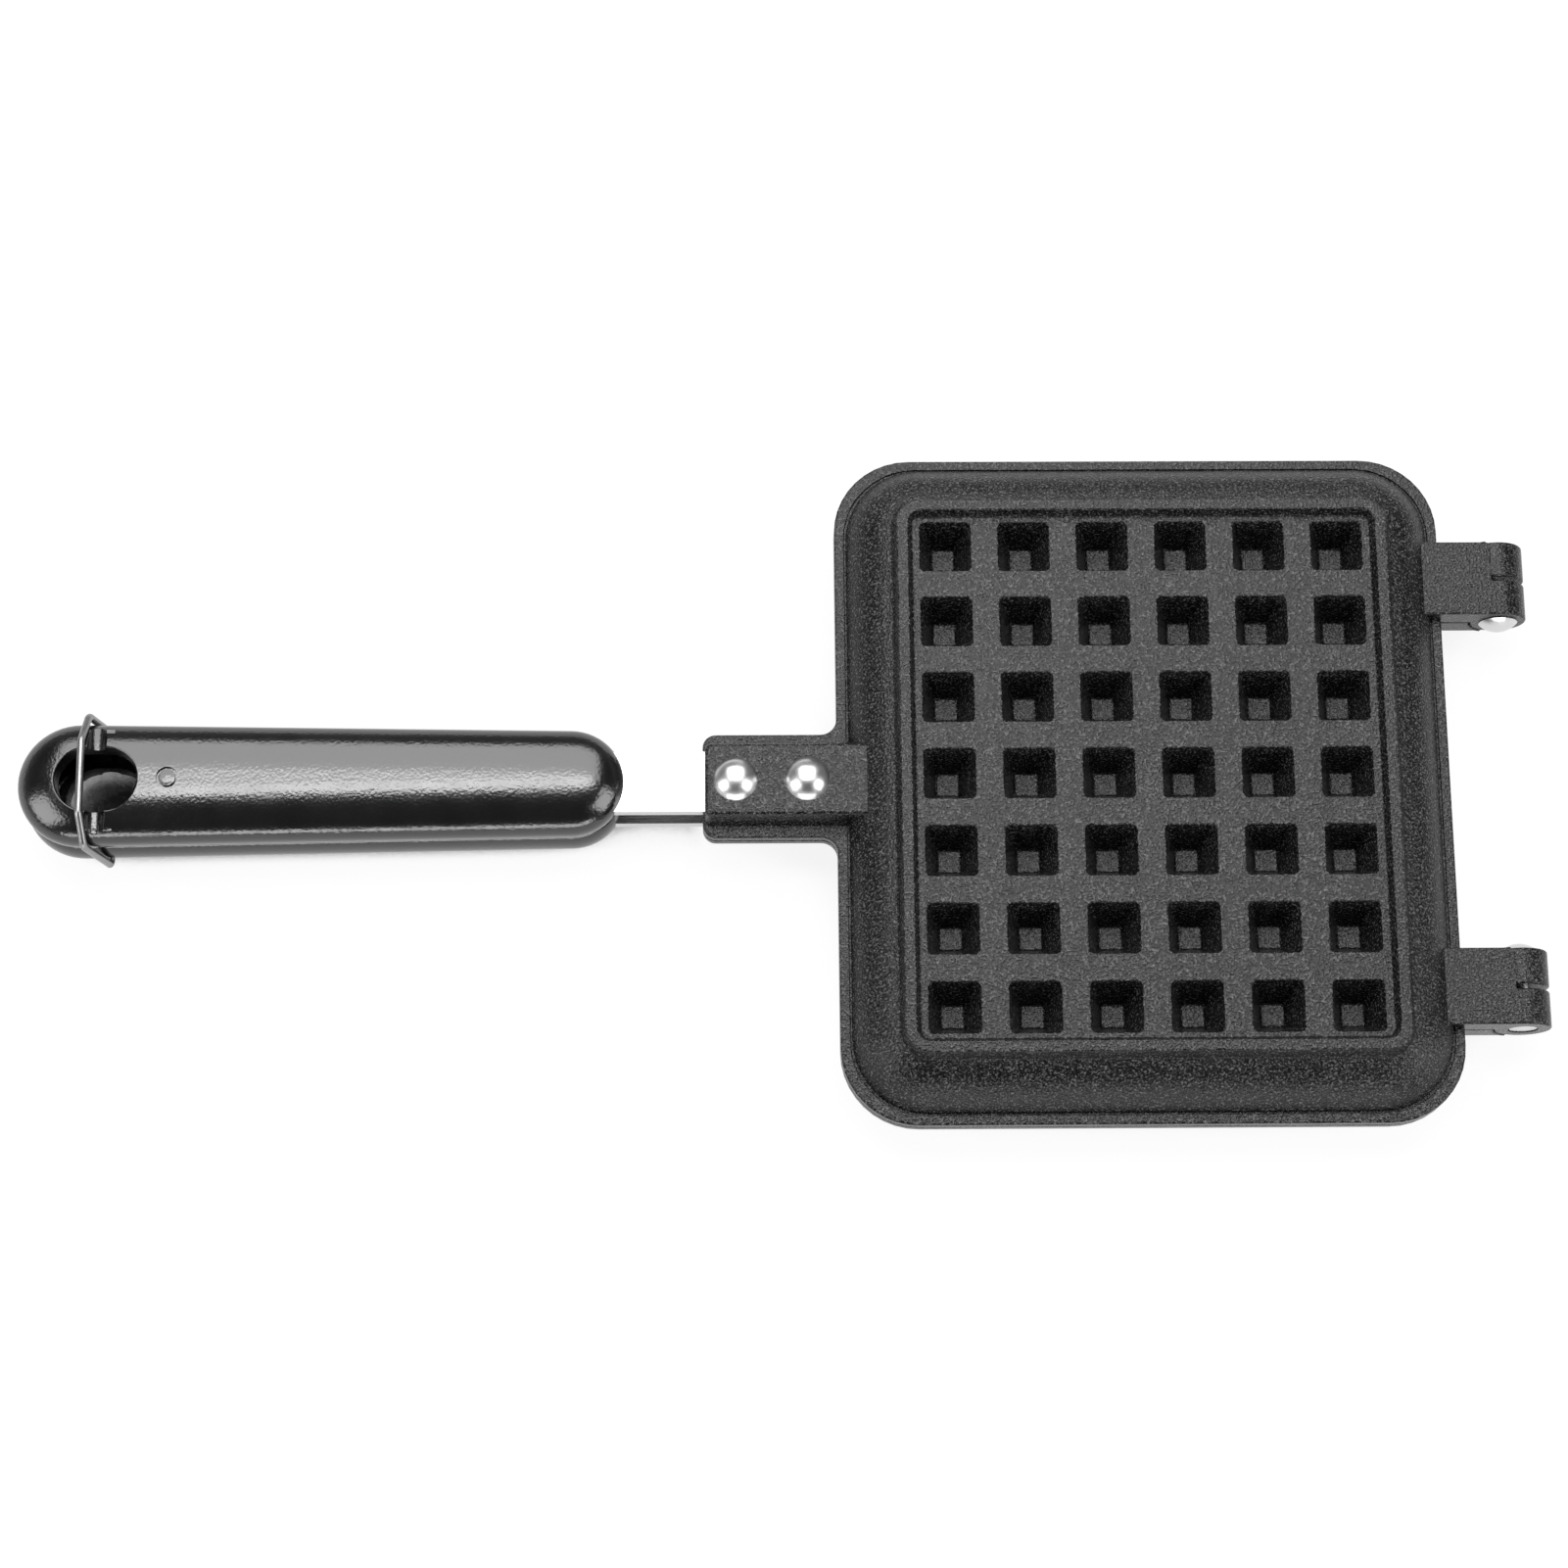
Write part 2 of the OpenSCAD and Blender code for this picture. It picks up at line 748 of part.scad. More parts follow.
module bail() {
  shoulder = bail_rise - bail_fall;
  side = [[bail_inner_y, 0], [leg_y, 0], [leg_y, shoulder], [bail_half, bail_rise]];
  other = [for (p = reversed(side)) [-p[0], p[1]]];
  radii = [0, pivot_bend, bail_bend, bail_bend];
  translate([pivot_x, 0, -latch_drop])
    rotate([0, -bail_lean, 0])
      rotate([90, 0, 90])
        wire(concat(side, other), concat(radii, reversed(radii)));
}

// puts a piece drawn about the parting plane into the frame
module placed() {
  translate([shift_x, 0, plate_height])
    children();
}

module flipped() {
  rotate([180, 0, 0])
    children();
}

module upper_plate() {
  color("#3a3a3c") placed() casting();
}

module lower_plate() {
  color("#303032") placed() flipped() casting();
}

module upper_tang() {
  color("#d8d8dc") placed() tang();
}

module lower_tang() {
  color("#c8c8cc") placed() flipped() tang();
}

module upper_handle() {
  color("#151517") placed() handle(false);
}

module lower_handle() {
  color("#1c1c1e") placed() flipped() handle(true);
}

module upper_rivet_front() {
  color("#e4e4e8") placed() rivet(rivet_front_x);
}

module upper_rivet_rear() {
  color("#e4e4e8") placed() rivet(rivet_rear_x);
}

module lower_rivet_front() {
  color("#e4e4e8") placed() flipped() rivet(rivet_front_x);
}

module lower_rivet_rear() {
  color("#e4e4e8") placed() flipped() rivet(rivet_rear_x);
}

module hinge_pin_left() {
  color("#dcdce0") placed() hinge_pin();
}

module hinge_pin_right() {
  color("#dcdce0") placed() mirror([0, 1, 0]) hinge_pin();
}

module upper_screw_front() {
  color("#b4b4b8") placed() screw(screw_front_x);
}

module upper_screw_rear() {
  color("#b4b4b8") placed() screw(screw_rear_x);
}

module lower_screw_front() {
  color("#b4b4b8") placed() flipped() screw(screw_front_x);
}

module lower_screw_rear() {
  color("#b4b4b8") placed() flipped() screw(screw_rear_x);
}

module latch_bail() {
  color("#9c9ca0") placed() bail();
}

lower_plate();
upper_plate();
lower_tang();
upper_tang();
lower_handle();
upper_handle();
lower_rivet_front();
lower_rivet_rear();
upper_rivet_front();
upper_rivet_rear();
hinge_pin_left();
hinge_pin_right();
lower_screw_front();
lower_screw_rear();
upper_screw_front();
upper_screw_rear();
latch_bail();
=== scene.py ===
import json
import math

import bmesh
import bpy
from mathutils import Matrix, Vector

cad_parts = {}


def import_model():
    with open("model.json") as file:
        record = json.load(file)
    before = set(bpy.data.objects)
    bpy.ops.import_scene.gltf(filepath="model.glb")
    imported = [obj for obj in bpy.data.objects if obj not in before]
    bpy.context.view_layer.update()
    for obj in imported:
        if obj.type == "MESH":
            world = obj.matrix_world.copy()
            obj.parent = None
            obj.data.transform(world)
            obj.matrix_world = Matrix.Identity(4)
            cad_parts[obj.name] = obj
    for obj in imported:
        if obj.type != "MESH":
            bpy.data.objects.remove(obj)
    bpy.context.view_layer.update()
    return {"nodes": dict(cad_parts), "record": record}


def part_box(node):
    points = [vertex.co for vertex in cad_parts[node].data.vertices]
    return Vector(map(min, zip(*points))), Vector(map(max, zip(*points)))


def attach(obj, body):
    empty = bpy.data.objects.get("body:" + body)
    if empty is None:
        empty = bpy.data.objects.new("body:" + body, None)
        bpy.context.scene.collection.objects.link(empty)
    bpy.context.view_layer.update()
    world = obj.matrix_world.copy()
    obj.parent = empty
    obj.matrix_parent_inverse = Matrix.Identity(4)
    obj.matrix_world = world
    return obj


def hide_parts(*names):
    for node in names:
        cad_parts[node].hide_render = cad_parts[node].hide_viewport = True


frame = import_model()
nodes = frame["nodes"]

# The pieces' lengths are in millimetres, and MM turns them into metres. The
# floor, the lights and the camera are given in metres.
MM = 0.001

# The castings. Places are measured from the middle of the grid of pits and
# from the parting plane, as the upper casting lies; the frame gives both.
KNUCKLE_R = 6.4
HINGE_REACH = 13.65
PITCH = 18.0
PITS_X, PITS_Y = 6, 7
PIT_MOUTH, PIT_FLOOR = 11.7, 5.3
PIT_CORNER, PEG_CORNER = 1.1, 2.5
PLATE_TOP, PANEL_Z, CEILING_Z = 15.6, 12.8, 10.8
PIT_FLOOR_Z, PEG_TIP_Z = 2.3, 0.9
LAND_Z, FLANGE_Z = 0.15, 2.7
GROOVE_Z = 2.2
PEG_ROOT_HALF, PEG_TIP_HALF = 6.70, 3.69
BAND_X, BAND_Y, BAND_R = 56.15, 64.55, 5.5
BAND_IN, BAND_FLAT, BAND_OUT, SHOULDER_Z = 0.9, 2.55, 1.0, 12.0
SHOULDER_R, WALL = 14.2, 2.4
SHOULDER_FROM, SHOULDER_TO = 12, 68
GROOVE_W, FLANGE_W, FLANGE_R = 0.6, 2.8, 17.5

# The rim's section: degrees between which its outside is an arc, radii of its
# corners from the panel outwards and back inside, and how far its ends run on
# over the panel and under the ceiling.
ARC_FROM, ARC_TO = 20, SHOULDER_TO - 3
PANEL_CORNER, BAND_CORNER, VALLEY_CORNER, FOOT_CORNER = 0.5, 0.4, 0.6, 0.28
GROOVE_CORNERS, FLANGE_CORNERS = (0.2, 0.12, 0.15), (0.4, 0.3)
MOUTH_CORNER, MOUTH_LEDGE = 0.4, 0.3
PANEL_LEAD, CEILING_LEAD = 0.6, 1.5

# Where the section's arcs are centred and end, and what follows from them.
ARC_A = BAND_OUT - SHOULDER_R * math.sin(math.radians(SHOULDER_FROM))
ARC_Z = SHOULDER_Z - SHOULDER_R * math.cos(math.radians(SHOULDER_FROM))
FOOT_A = ARC_A + SHOULDER_R * math.sin(math.radians(SHOULDER_TO))
PLATE_X = BAND_X + FOOT_A + FLANGE_W
HINGE_X = PLATE_X + HINGE_REACH
PARTING_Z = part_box("upper_plate")[1][2] / MM - PLATE_TOP
SHIFT_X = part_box("upper_plate")[1][0] / MM - KNUCKLE_R - HINGE_X

# The pits and pegs: radii at mouth or root and at floor or tip, and how far
# their skin runs on over the panel or the ceiling.
PIT_ROUNDS, PIT_LEAD = (0.28, 0.6), 0.42
PEG_ROUNDS, PEG_LEAD = (0.8, 0.7), 0.75

# The tab, the hinge arms and the pins' bores.
TAB_X, TAB_TOP_Z, TAB_TOP_HALF, TAB_FOOT_HALF, TAB_CORNER = -100.314, 8.8, 8.4, 9.4, 1.5
SKIRT_X, SKIRT_HALF, SKIRT_CORNER, SKIRT_FILLET = -100.814, 12.2, 3.0, 3.8
TROUGH_END, TROUGH_HALF, TROUGH_Z = -68.364, 7.15, 6.7
RIVET_X, RIVET_HOLE_R = (-93.414, -77.114), 2.55
ARM_Y, ARM_HALF, ARM_TOP = 48.214, 8.8, 6.4
KNUCKLE_RUN, KNUCKLE_CLEAR_R, BORE_R = 8.3, 6.8, 2.3
SINK_R, SINK_DEPTH = 3.4, 1.1
TAB_EDGE_R, SKIRT_EDGE_R, SKIRT_BITE, TROUGH_CORNER, ARM_EDGE = 0.9, 0.35, 0.25, 0.35, 0.45

# A step too small to see that keeps two joined faces out of one plane, how far
# a cutter stands out past what it cuts, how near two points are made one, the
# angles in degrees from which an edge stays sharp, half the angle from which a
# corner counts as flat, and how strongly large faces steer the shading.
STEP, OVERRUN, MERGE = 0.01, 1.0, 0.001
PLATE_SHARP, HANDLE_SHARP, FLAT_HALF = 35, 38, 88
FACE_WEIGHT = 80

# The handles, measured the same way.
FRONT_CX, FRONT_R = -130.814, 12.3
REAR_CX, REAR_R = -241.71, 14.1
OPEN_Z, WAIST_Z, HANDLE_TOP_Z = 0.4, 5.2, 12.2
TUCK, CROWN_POWER = 2.3, 2.2
HANDLE_WALL, ROOF_Z, COVE = 4.0, 9.8, 2.2
HOLE_X, HOLE_LENGTH, HOLE_WIDTH, RIM_R = -237.414, 18.5, 14.6, 0.55
NOTCH_R, NOTCH_FLOOR_Z, NOTCH_SOFT = 2.2, 9.0, 0.3
MARK_X, MARK_R, MARK_DEPTH = -221.314, 2.5, 0.4
MARK_GROOVE, MARK_SINK, MARK_BEVEL = 0.6, 0.05, 0.06
COLLAR_WALL, COLLAR_Z, BED_Z = 1.6, 5.8, 7.0
SLOT_HALF, SLOT_LOW, SLOT_HIGH, SLOT_RUN = 7.15, 3.55, 6.85, 10.2
BOSS_X, BOSS_R, BOSS_Z = (-140.514, -186.514), 4.2, 6.7
PIVOT_X, PIVOT_Z, PIVOT_R, PIVOT_DEPTH = -236.214, 7.5, 0.93, 5.0

# How far the bosses and the notches' bed run up into the roof, how far the
# crown's last outline stops short of a point, the step over which the crown's
# slope is measured, and when a face counts as part of the crown: its distance
# from it, and the cosine between their normals.
BOSS_BITE, BED_BITE = 0.5, 0.3
CROWN_END, CROWN_PROBE = 0.03, 0.01
CROWN_NEAR, CROWN_AGREE = 0.05, 0.98

# Which edges are a notch's rim: how near points are made one before the
# search, the least turn in degrees, the slack beside the notch, and the least
# distance from the handle's middle.
RIM_MERGE, RIM_TURN, RIM_SLACK, RIM_FROM_Y = 0.002, 40, 0.1, 6.7

# How many straight steps stand for a round. A quarter turn of an edge, and of a
# corner of the pits, of the plate's outline and of the tab's flange:
EDGE_STEPS, CORNER_STEPS, OUTLINE_STEPS, FILLET_STEPS = 6, 4, 10, 8
# The rounds down a pit or peg, the edge of the tab's flange, a bevel, and the
# bores for the bail:
PIT_STEPS, SKIRT_STEPS, BEVEL_STEPS, PIVOT_SIDES = 3, 3, 3, 24
# The shoulder outside and inside, the knuckle and its clearance, and a notch:
SHOULDER_STEPS, INNER_STEPS, KNUCKLE_STEPS, CLEAR_STEPS, NOTCH_STEPS = 20, 16, 36, 12, 16
# The handle below and above its waist, its round ends and straight sides, and
# each end of the hanging hole:
TUCK_STEPS, CROWN_STEPS, END_STEPS, SIDE_STEPS, HOLE_STEPS = 8, 30, 28, 30, 20


# Mesh helpers

def quarter_turn(steps, start=0):
    """Angles over a quarter turn that begins at start degrees."""
    return [math.radians(start + 90 * k / steps) for k in range(steps + 1)]


def rounded_profile(points, steps=4):
    """Corners given as (u, v, r) turned into points, each corner an arc."""
    out = []
    for i, (u, v, r) in enumerate(points):
        here = Vector((u, v))
        if r <= 0 or i in (0, len(points) - 1):
            out.append((u, v))
            continue
        a = (Vector(points[i - 1][:2]) - here).normalized()
        b = (Vector(points[i + 1][:2]) - here).normalized()
        half = a.angle(b) / 2
        if half > math.radians(FLAT_HALF):
            out.append((u, v))
            continue
        cut = r / math.tan(half)
        centre = here + (a + b).normalized() * (r / math.sin(half))
        start = (here + a * cut - centre).normalized()
        end = (here + b * cut - centre).normalized()
        for k in range(steps + 1):
            p = centre + start.slerp(end, k / steps) * r
            out.append((p.x, p.y))
    return out


def rounded_box_loop(half_x, half_y, r, steps):
    """Points of a rounded rectangle, turning the same way for every size."""
    points = []
    for quarter, (sx, sy) in enumerate(((1, 1), (-1, 1), (-1, -1), (1, -1))):
        for t in quarter_turn(steps, 90 * quarter):
            x = sx * (half_x - r) + r * math.cos(t)
            y = sy * (half_y - r) + r * math.sin(t)
            points.append((x, y))
    return points


def add_loop(bm, points, z):
    """New points at one height."""
    return [bm.verts.new((x, y, z)) for x, y in points]


def bridge(bm, one, two):
    """Faces between two loops with as many points."""
    n = len(one)
    for i in range(n):
        bm.faces.new((one[i], one[(i + 1) % n], two[(i + 1) % n], two[i]))


def skin(bm, loops, cap_first=False, cap_last=False):
    """Faces from loop to loop, with the ends closed where asked."""
    for one, two in zip(loops, loops[1:]):
        bridge(bm, one, two)
    if cap_first:
        bm.faces.new(loops[0])
    if cap_last:
        bm.faces.new(loops[-1])


def loop_edges(bm, loop):
    return [bm.edges.get((loop[i], loop[(i + 1) % len(loop)])) for i in range(len(loop))]


def object_from(bm, name):
    bmesh.ops.recalc_face_normals(bm, faces=bm.faces)
    mesh = bpy.data.meshes.new(name)
    bm.to_mesh(mesh)
    bm.free()
    obj = bpy.data.objects.new(name, mesh)
    bpy.context.scene.collection.objects.link(obj)
    return obj


def prism(name, outline, low, high, axis="Z", bevel=0.0):
    """Outline extruded along Z, or along Y with its second number as Z."""
    bm = bmesh.new()
    if axis == "Z":
        ends = [[bm.verts.new((u, v, w)) for u, v in outline] for w in (low, high)]
    else:
        ends = [[bm.verts.new((u, w, v)) for u, v in outline] for w in (low, high)]
    skin(bm, ends, True, True)
    if bevel:
        rims = loop_edges(bm, ends[0]) + loop_edges(bm, ends[1])
        bmesh.ops.recalc_face_normals(bm, faces=bm.faces)
        bmesh.ops.bevel(bm, geom=rims, offset=bevel, segments=BEVEL_STEPS, profile=0.5,
                        affect="EDGES")
    return object_from(bm, name)


def circle(cx, cy, r, sides=48):
    turns = [2 * math.pi * k / sides for k in range(sides)]
    return [(cx + r * math.cos(t), cy + r * math.sin(t)) for t in turns]


def combine(obj, tool, operation):
    """Boolean of obj with tool, applied; the tool goes."""
    modifier = obj.modifiers.new("combine", "BOOLEAN")
    modifier.operation = operation
    modifier.solver = "EXACT"
    modifier.object = tool
    graph = bpy.context.evaluated_depsgraph_get()
    mesh = bpy.data.meshes.new_from_object(obj.evaluated_get(graph))
    obj.modifiers.clear()
    old = obj.data
    obj.data = mesh
    bpy.data.meshes.remove(old)
    tool_mesh = tool.data
    bpy.data.objects.remove(tool)
    bpy.data.meshes.remove(tool_mesh)


def smooth(obj, sharp_degrees):
    """Merges doubled points, and smooths the edges that turn by less than sharp_degrees."""
    bm = bmesh.new()
    bm.from_mesh(obj.data)
    bmesh.ops.remove_doubles(bm, verts=bm.verts, dist=MERGE)
    limit = math.radians(sharp_degrees)
    for face in bm.faces:
        face.smooth = True
    for edge in bm.edges:
        edge.smooth = len(edge.link_faces) == 2 and edge.calc_face_angle(0.0) < limit
    bm.to_mesh(obj.data)
    bm.free()


def dress(obj, name, node, body, material, flipped, weigh=True):
    """Puts a piece drawn in millimetres about the parting plane into the frame."""
    place = Matrix.Translation((SHIFT_X * MM, 0, PARTING_Z * MM)) @ Matrix.Scale(MM, 4)
    if flipped:
        place = place @ Matrix.Rotation(math.pi, 4, "X")
    piece = bpy.data.objects.new(name, obj.data.copy())
    piece.data.transform(place)
    piece.data.materials.clear()
    piece.data.materials.append(material)
    bpy.context.scene.collection.objects.link(piece)
    if weigh:
        weighted = piece.modifiers.new("weighted", "WEIGHTED_NORMAL")
        weighted.keep_sharp = True
        weighted.weight = FACE_WEIGHT
    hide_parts(node)
    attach(piece, body)
    return piece


def drop(obj):
    """Takes away an object that was only drawn to be copied."""
    mesh = obj.data
    bpy.data.objects.remove(obj)
    bpy.data.meshes.remove(mesh)


# The castings

def rim_loop(a):
    """Rounded rectangle that lies a outside the band's outer edge, seen from above."""
    r = BAND_R + a
    past = max(0.0, (a - FOOT_A) / FLANGE_W)
    r += past * (FLANGE_R - (BAND_R + FOOT_A + FLANGE_W))
    return rounded_box_loop(BAND_X + a, BAND_Y + a, r, OUTLINE_STEPS)


def shoulder(radius, start, end, steps):
    """Points of the shoulder's arc between two angles in degrees from straight up."""
    turns = [math.radians(start + (end - start) * k / steps) for k in range(steps + 1)]
    return [(ARC_A + radius * math.sin(t), ARC_Z + radius * math.cos(t)) for t in turns]


def rim_section():
    """Section of the rim from the panel out over the band and the flange, and back inside."""
    inner_r = SHOULDER_R - WALL
    outside = [
        (-BAND_IN - BAND_FLAT - PANEL_LEAD, PANEL_Z, 0),
        (-BAND_IN - BAND_FLAT, PANEL_Z, PANEL_CORNER),
        (-BAND_FLAT, PLATE_TOP, BAND_CORNER),
        (0.0, PLATE_TOP, BAND_CORNER),
        (BAND_OUT, SHOULDER_Z, VALLEY_CORNER),
        shoulder(SHOULDER_R, ARC_FROM, ARC_FROM, 1)[0] + (0,),
    ]
    out = rounded_profile(outside)[:-1]
    out += shoulder(SHOULDER_R, ARC_FROM, ARC_TO, SHOULDER_STEPS)
    foot = (FOOT_A, ARC_Z + SHOULDER_R * math.cos(math.radians(SHOULDER_TO)))
    mouth = ARC_A + inner_r * math.sin(math.radians(SHOULDER_TO))
    lower = [
        shoulder(SHOULDER_R, ARC_TO, ARC_TO, 1)[0] + (0,),
        foot + (FOOT_CORNER,),
        (FOOT_A, GROOVE_Z, GROOVE_CORNERS[0]),
        (FOOT_A + GROOVE_W, GROOVE_Z, GROOVE_CORNERS[1]),
        (FOOT_A + GROOVE_W, FLANGE_Z, GROOVE_CORNERS[2]),
        (FOOT_A + FLANGE_W, FLANGE_Z, FLANGE_CORNERS[0]),
        (FOOT_A + FLANGE_W, LAND_Z, FLANGE_CORNERS[1]),
        (mouth + MOUTH_LEDGE, LAND_Z, MOUTH_CORNER),
        shoulder(inner_r, SHOULDER_TO, SHOULDER_TO, 1)[0] + (0,),
    ]
    out += rounded_profile(lower)[1:-1]
    out += shoulder(inner_r, SHOULDER_TO, SHOULDER_FROM, INNER_STEPS)
    out += [(0.0, CEILING_Z), (-CEILING_LEAD, CEILING_Z)]
    return out


def pit_section():
    """Half size and height down a pit, from the panel to its floor."""
    return rounded_profile([
        (PIT_MOUTH / 2 + PIT_LEAD, PANEL_Z, 0),
        (PIT_MOUTH / 2, PANEL_Z, PIT_ROUNDS[0]),
        (PIT_FLOOR / 2, PIT_FLOOR_Z, PIT_ROUNDS[1]),
        (PIT_FLOOR / 4, PIT_FLOOR_Z, 0),
    ], PIT_STEPS)


def peg_section():
    """Half size and height down a peg, from the ceiling to its tip."""
    return rounded_profile([
        (PEG_ROOT_HALF + PEG_LEAD, CEILING_Z, 0),
        (PEG_ROOT_HALF, CEILING_Z, PEG_ROUNDS[0]),
        (PEG_TIP_HALF, PEG_TIP_Z, PEG_ROUNDS[1]),
        (PEG_TIP_HALF / 2, PEG_TIP_Z, 0),
    ], PIT_STEPS)


def square_loops(bm, section, cx, cy, corner_share):
    """A closed square funnel from a section; returns the loop of its open end."""
    loops = []
    for half, z in section:
        r = corner_share * half
        points = [(cx + x, cy + y) for x, y in rounded_box_loop(half, half, r, CORNER_STEPS)]
        loops.append(add_loop(bm, points, z))
    skin(bm, loops, cap_last=True)
    return loops[0]


def shell():
    """Panel, band, shoulder, flange, pits and pegs as one closed skin."""
    bm = bmesh.new()
    section = rim_section()
    rims = [add_loop(bm, rim_loop(a), z) for a, z in section]
    skin(bm, rims)
    panel_edges = loop_edges(bm, rims[0])
    ceiling_edges = loop_edges(bm, rims[-1])
    for i in range(PITS_X):
        for j in range(PITS_Y):
            cx = (i - (PITS_X - 1) / 2) * PITCH
            cy = (j - (PITS_Y - 1) / 2) * PITCH
            mouth = square_loops(bm, pit_section(), cx, cy, PIT_CORNER / (PIT_MOUTH / 2))
            panel_edges += loop_edges(bm, mouth)
            root = square_loops(bm, peg_section(), cx, cy, PEG_CORNER / PEG_ROOT_HALF)
            ceiling_edges += loop_edges(bm, root)
    bmesh.ops.triangle_fill(bm, edges=panel_edges, use_beauty=True)
    bmesh.ops.triangle_fill(bm, edges=ceiling_edges, use_beauty=True)
    return object_from(bm, "shell")


def wall_middle(z):
    """How far outside the band the middle of the shoulder's wall lies at a height."""
    r = SHOULDER_R - WALL / 2
    return ARC_A + math.sqrt(max(0.0, r * r - (z - ARC_Z) ** 2))


def rounded_rim(top, r, steps):
    """Heights and insets up a rounded edge that ends at the height top."""
    return [(top - r + r * math.sin(t), r * (1 - math.cos(t))) for t in quarter_turn(steps)]


def tab_block():
    """Drafted block of the tab, its top edge rounded, ending inside the shoulder's wall."""
    levels = [(LAND_Z + 2 * STEP, 0.0), (FLANGE_Z, 0.0)]
    levels += rounded_rim(TAB_TOP_Z, TAB_EDGE_R, EDGE_STEPS)
    bm = bmesh.new()
    loops = []
    for z, inset in levels:
        lean = max(0.0, (z - FLANGE_Z) / (TAB_TOP_Z - FLANGE_Z))
        half = TAB_FOOT_HALF + (TAB_TOP_HALF - TAB_FOOT_HALF) * lean - inset
        front = TAB_X + inset
        r = TAB_CORNER
        end = -(BAND_X + wall_middle(z))
        points = [(end, -half), (end, half)]
        for start, sy in ((90, 1), (180, -1)):
            for t in quarter_turn(EDGE_STEPS, start):
                points.append((front + r + r * math.cos(t), sy * (half - r) + r * math.sin(t)))
        loops.append(add_loop(bm, points, z))
    skin(bm, loops, True, True)
    return object_from(bm, "tab_block")


def tab_skirt():
    """Flange of the tab, with its fillets to the plate's flange."""
    low, high = LAND_Z + STEP, FLANGE_Z - STEP
    levels = [(low, SKIRT_EDGE_R), (low + SKIRT_EDGE_R, 0.0)]
    levels += rounded_rim(high, SKIRT_EDGE_R, SKIRT_STEPS)
    end = -(PLATE_X - FLANGE_W + GROOVE_W + SKIRT_BITE)
    bm = bmesh.new()
    loops = []
    for z, inset in levels:
        upper = []
        r = SKIRT_FILLET + inset
        half = SKIRT_HALF - inset
        for t in quarter_turn(FILLET_STEPS):
            x = -PLATE_X - SKIRT_FILLET + r * math.cos(t)
            y = SKIRT_HALF + SKIRT_FILLET - r * math.sin(t)
            upper.append((x, y))
        upper = [(end, upper[0][1])] + upper
        r = SKIRT_CORNER
        for t in quarter_turn(FILLET_STEPS, 90):
            upper.append((SKIRT_X + inset + r + r * math.cos(t), half - r + r * math.sin(t)))
        lower = [(x, -y) for x, y in reversed(upper)]
        loops.append(add_loop(bm, upper + lower, z))
    skin(bm, loops, True, True)
    return object_from(bm, "tab_skirt")


def arc_points(cx, cz, r, start, end, steps):
    turns = [math.radians(start + (end - start) * k / steps) for k in range(steps + 1)]
    return [(cx + r * math.cos(t), cz + r * math.sin(t)) for t in turns]


def arm(y):
    """Hinge arm: a knuckle on its half towards negative Y, cut clear on the other half."""
    low = LAND_Z + STEP
    levels = [low + (ARM_TOP - low) * k / EDGE_STEPS for k in range(EDGE_STEPS + 1)]
    root = [(BAND_X + wall_middle(z), z) for z in levels]
    meet = math.degrees(math.asin(low / KNUCKLE_R))
    knuckle = root + arc_points(HINGE_X, 0, KNUCKLE_R, 90, meet - 180, KNUCKLE_STEPS)
    first = math.degrees(math.asin(ARM_TOP / KNUCKLE_CLEAR_R))
    last = math.degrees(math.asin(low / KNUCKLE_CLEAR_R))
    clear = arc_points(HINGE_X, 0, KNUCKLE_CLEAR_R, 180 - first, 180 - last, CLEAR_STEPS)
    split = y - ARM_HALF + KNUCKLE_RUN
    body = prism("arm", knuckle, y - ARM_HALF, split, "Y", ARM_EDGE)
    other = prism("arm_plain", root + clear, split - OVERRUN, y + ARM_HALF, "Y", ARM_EDGE)
    combine(body, other, "UNION")
    return body


def cylinder_y(x, z, r, low, high):
    return prism("bore", circle(x, z, r), low, high, "Y")


def trough():
    """Cutter for the trough under the tab, in which the tang lies."""
    outline = rounded_profile([
        (-TROUGH_HALF, -OVERRUN, 0),
        (-TROUGH_HALF, TROUGH_Z, TROUGH_CORNER),
        (TROUGH_HALF, TROUGH_Z, TROUGH_CORNER),
        (TROUGH_HALF, -OVERRUN, 0),
    ])
    bm = bmesh.new()
    start = SKIRT_X - 2 * OVERRUN
    ends = [[bm.verts.new((x, y, z)) for y, z in outline] for x in (start, TROUGH_END)]
    skin(bm, ends, True, True)
    return object_from(bm, "trough")


def casting():
    """One plate: its shell with tab and arms, the trough, and every bore."""
    obj = shell()
    for piece in [tab_skirt(), tab_block()] + [arm(y) for y in (-ARM_Y, ARM_Y)]:
        combine(obj, piece, "UNION")
    combine(obj, trough(), "DIFFERENCE")
    for x in RIVET_X:
        hole = prism("hole", circle(x, 0, RIVET_HOLE_R), TROUGH_Z - OVERRUN, TAB_TOP_Z + OVERRUN)
        combine(obj, hole, "DIFFERENCE")
    for y in (-ARM_Y, ARM_Y):
        low, high = y - ARM_HALF - OVERRUN, y + ARM_HALF + OVERRUN
        combine(obj, cylinder_y(HINGE_X, 0, BORE_R, low, high), "DIFFERENCE")
    face = -ARM_Y - ARM_HALF
    sink = cylinder_y(HINGE_X, 0, SINK_R, face - OVERRUN, face + SINK_DEPTH)
    combine(obj, sink, "DIFFERENCE")
    smooth(obj, PLATE_SHARP)
    return obj


# The handles

TAPER = math.asin((REAR_R - FRONT_R) / (FRONT_CX - REAR_CX))
CROWN = HANDLE_TOP_Z - WAIST_Z


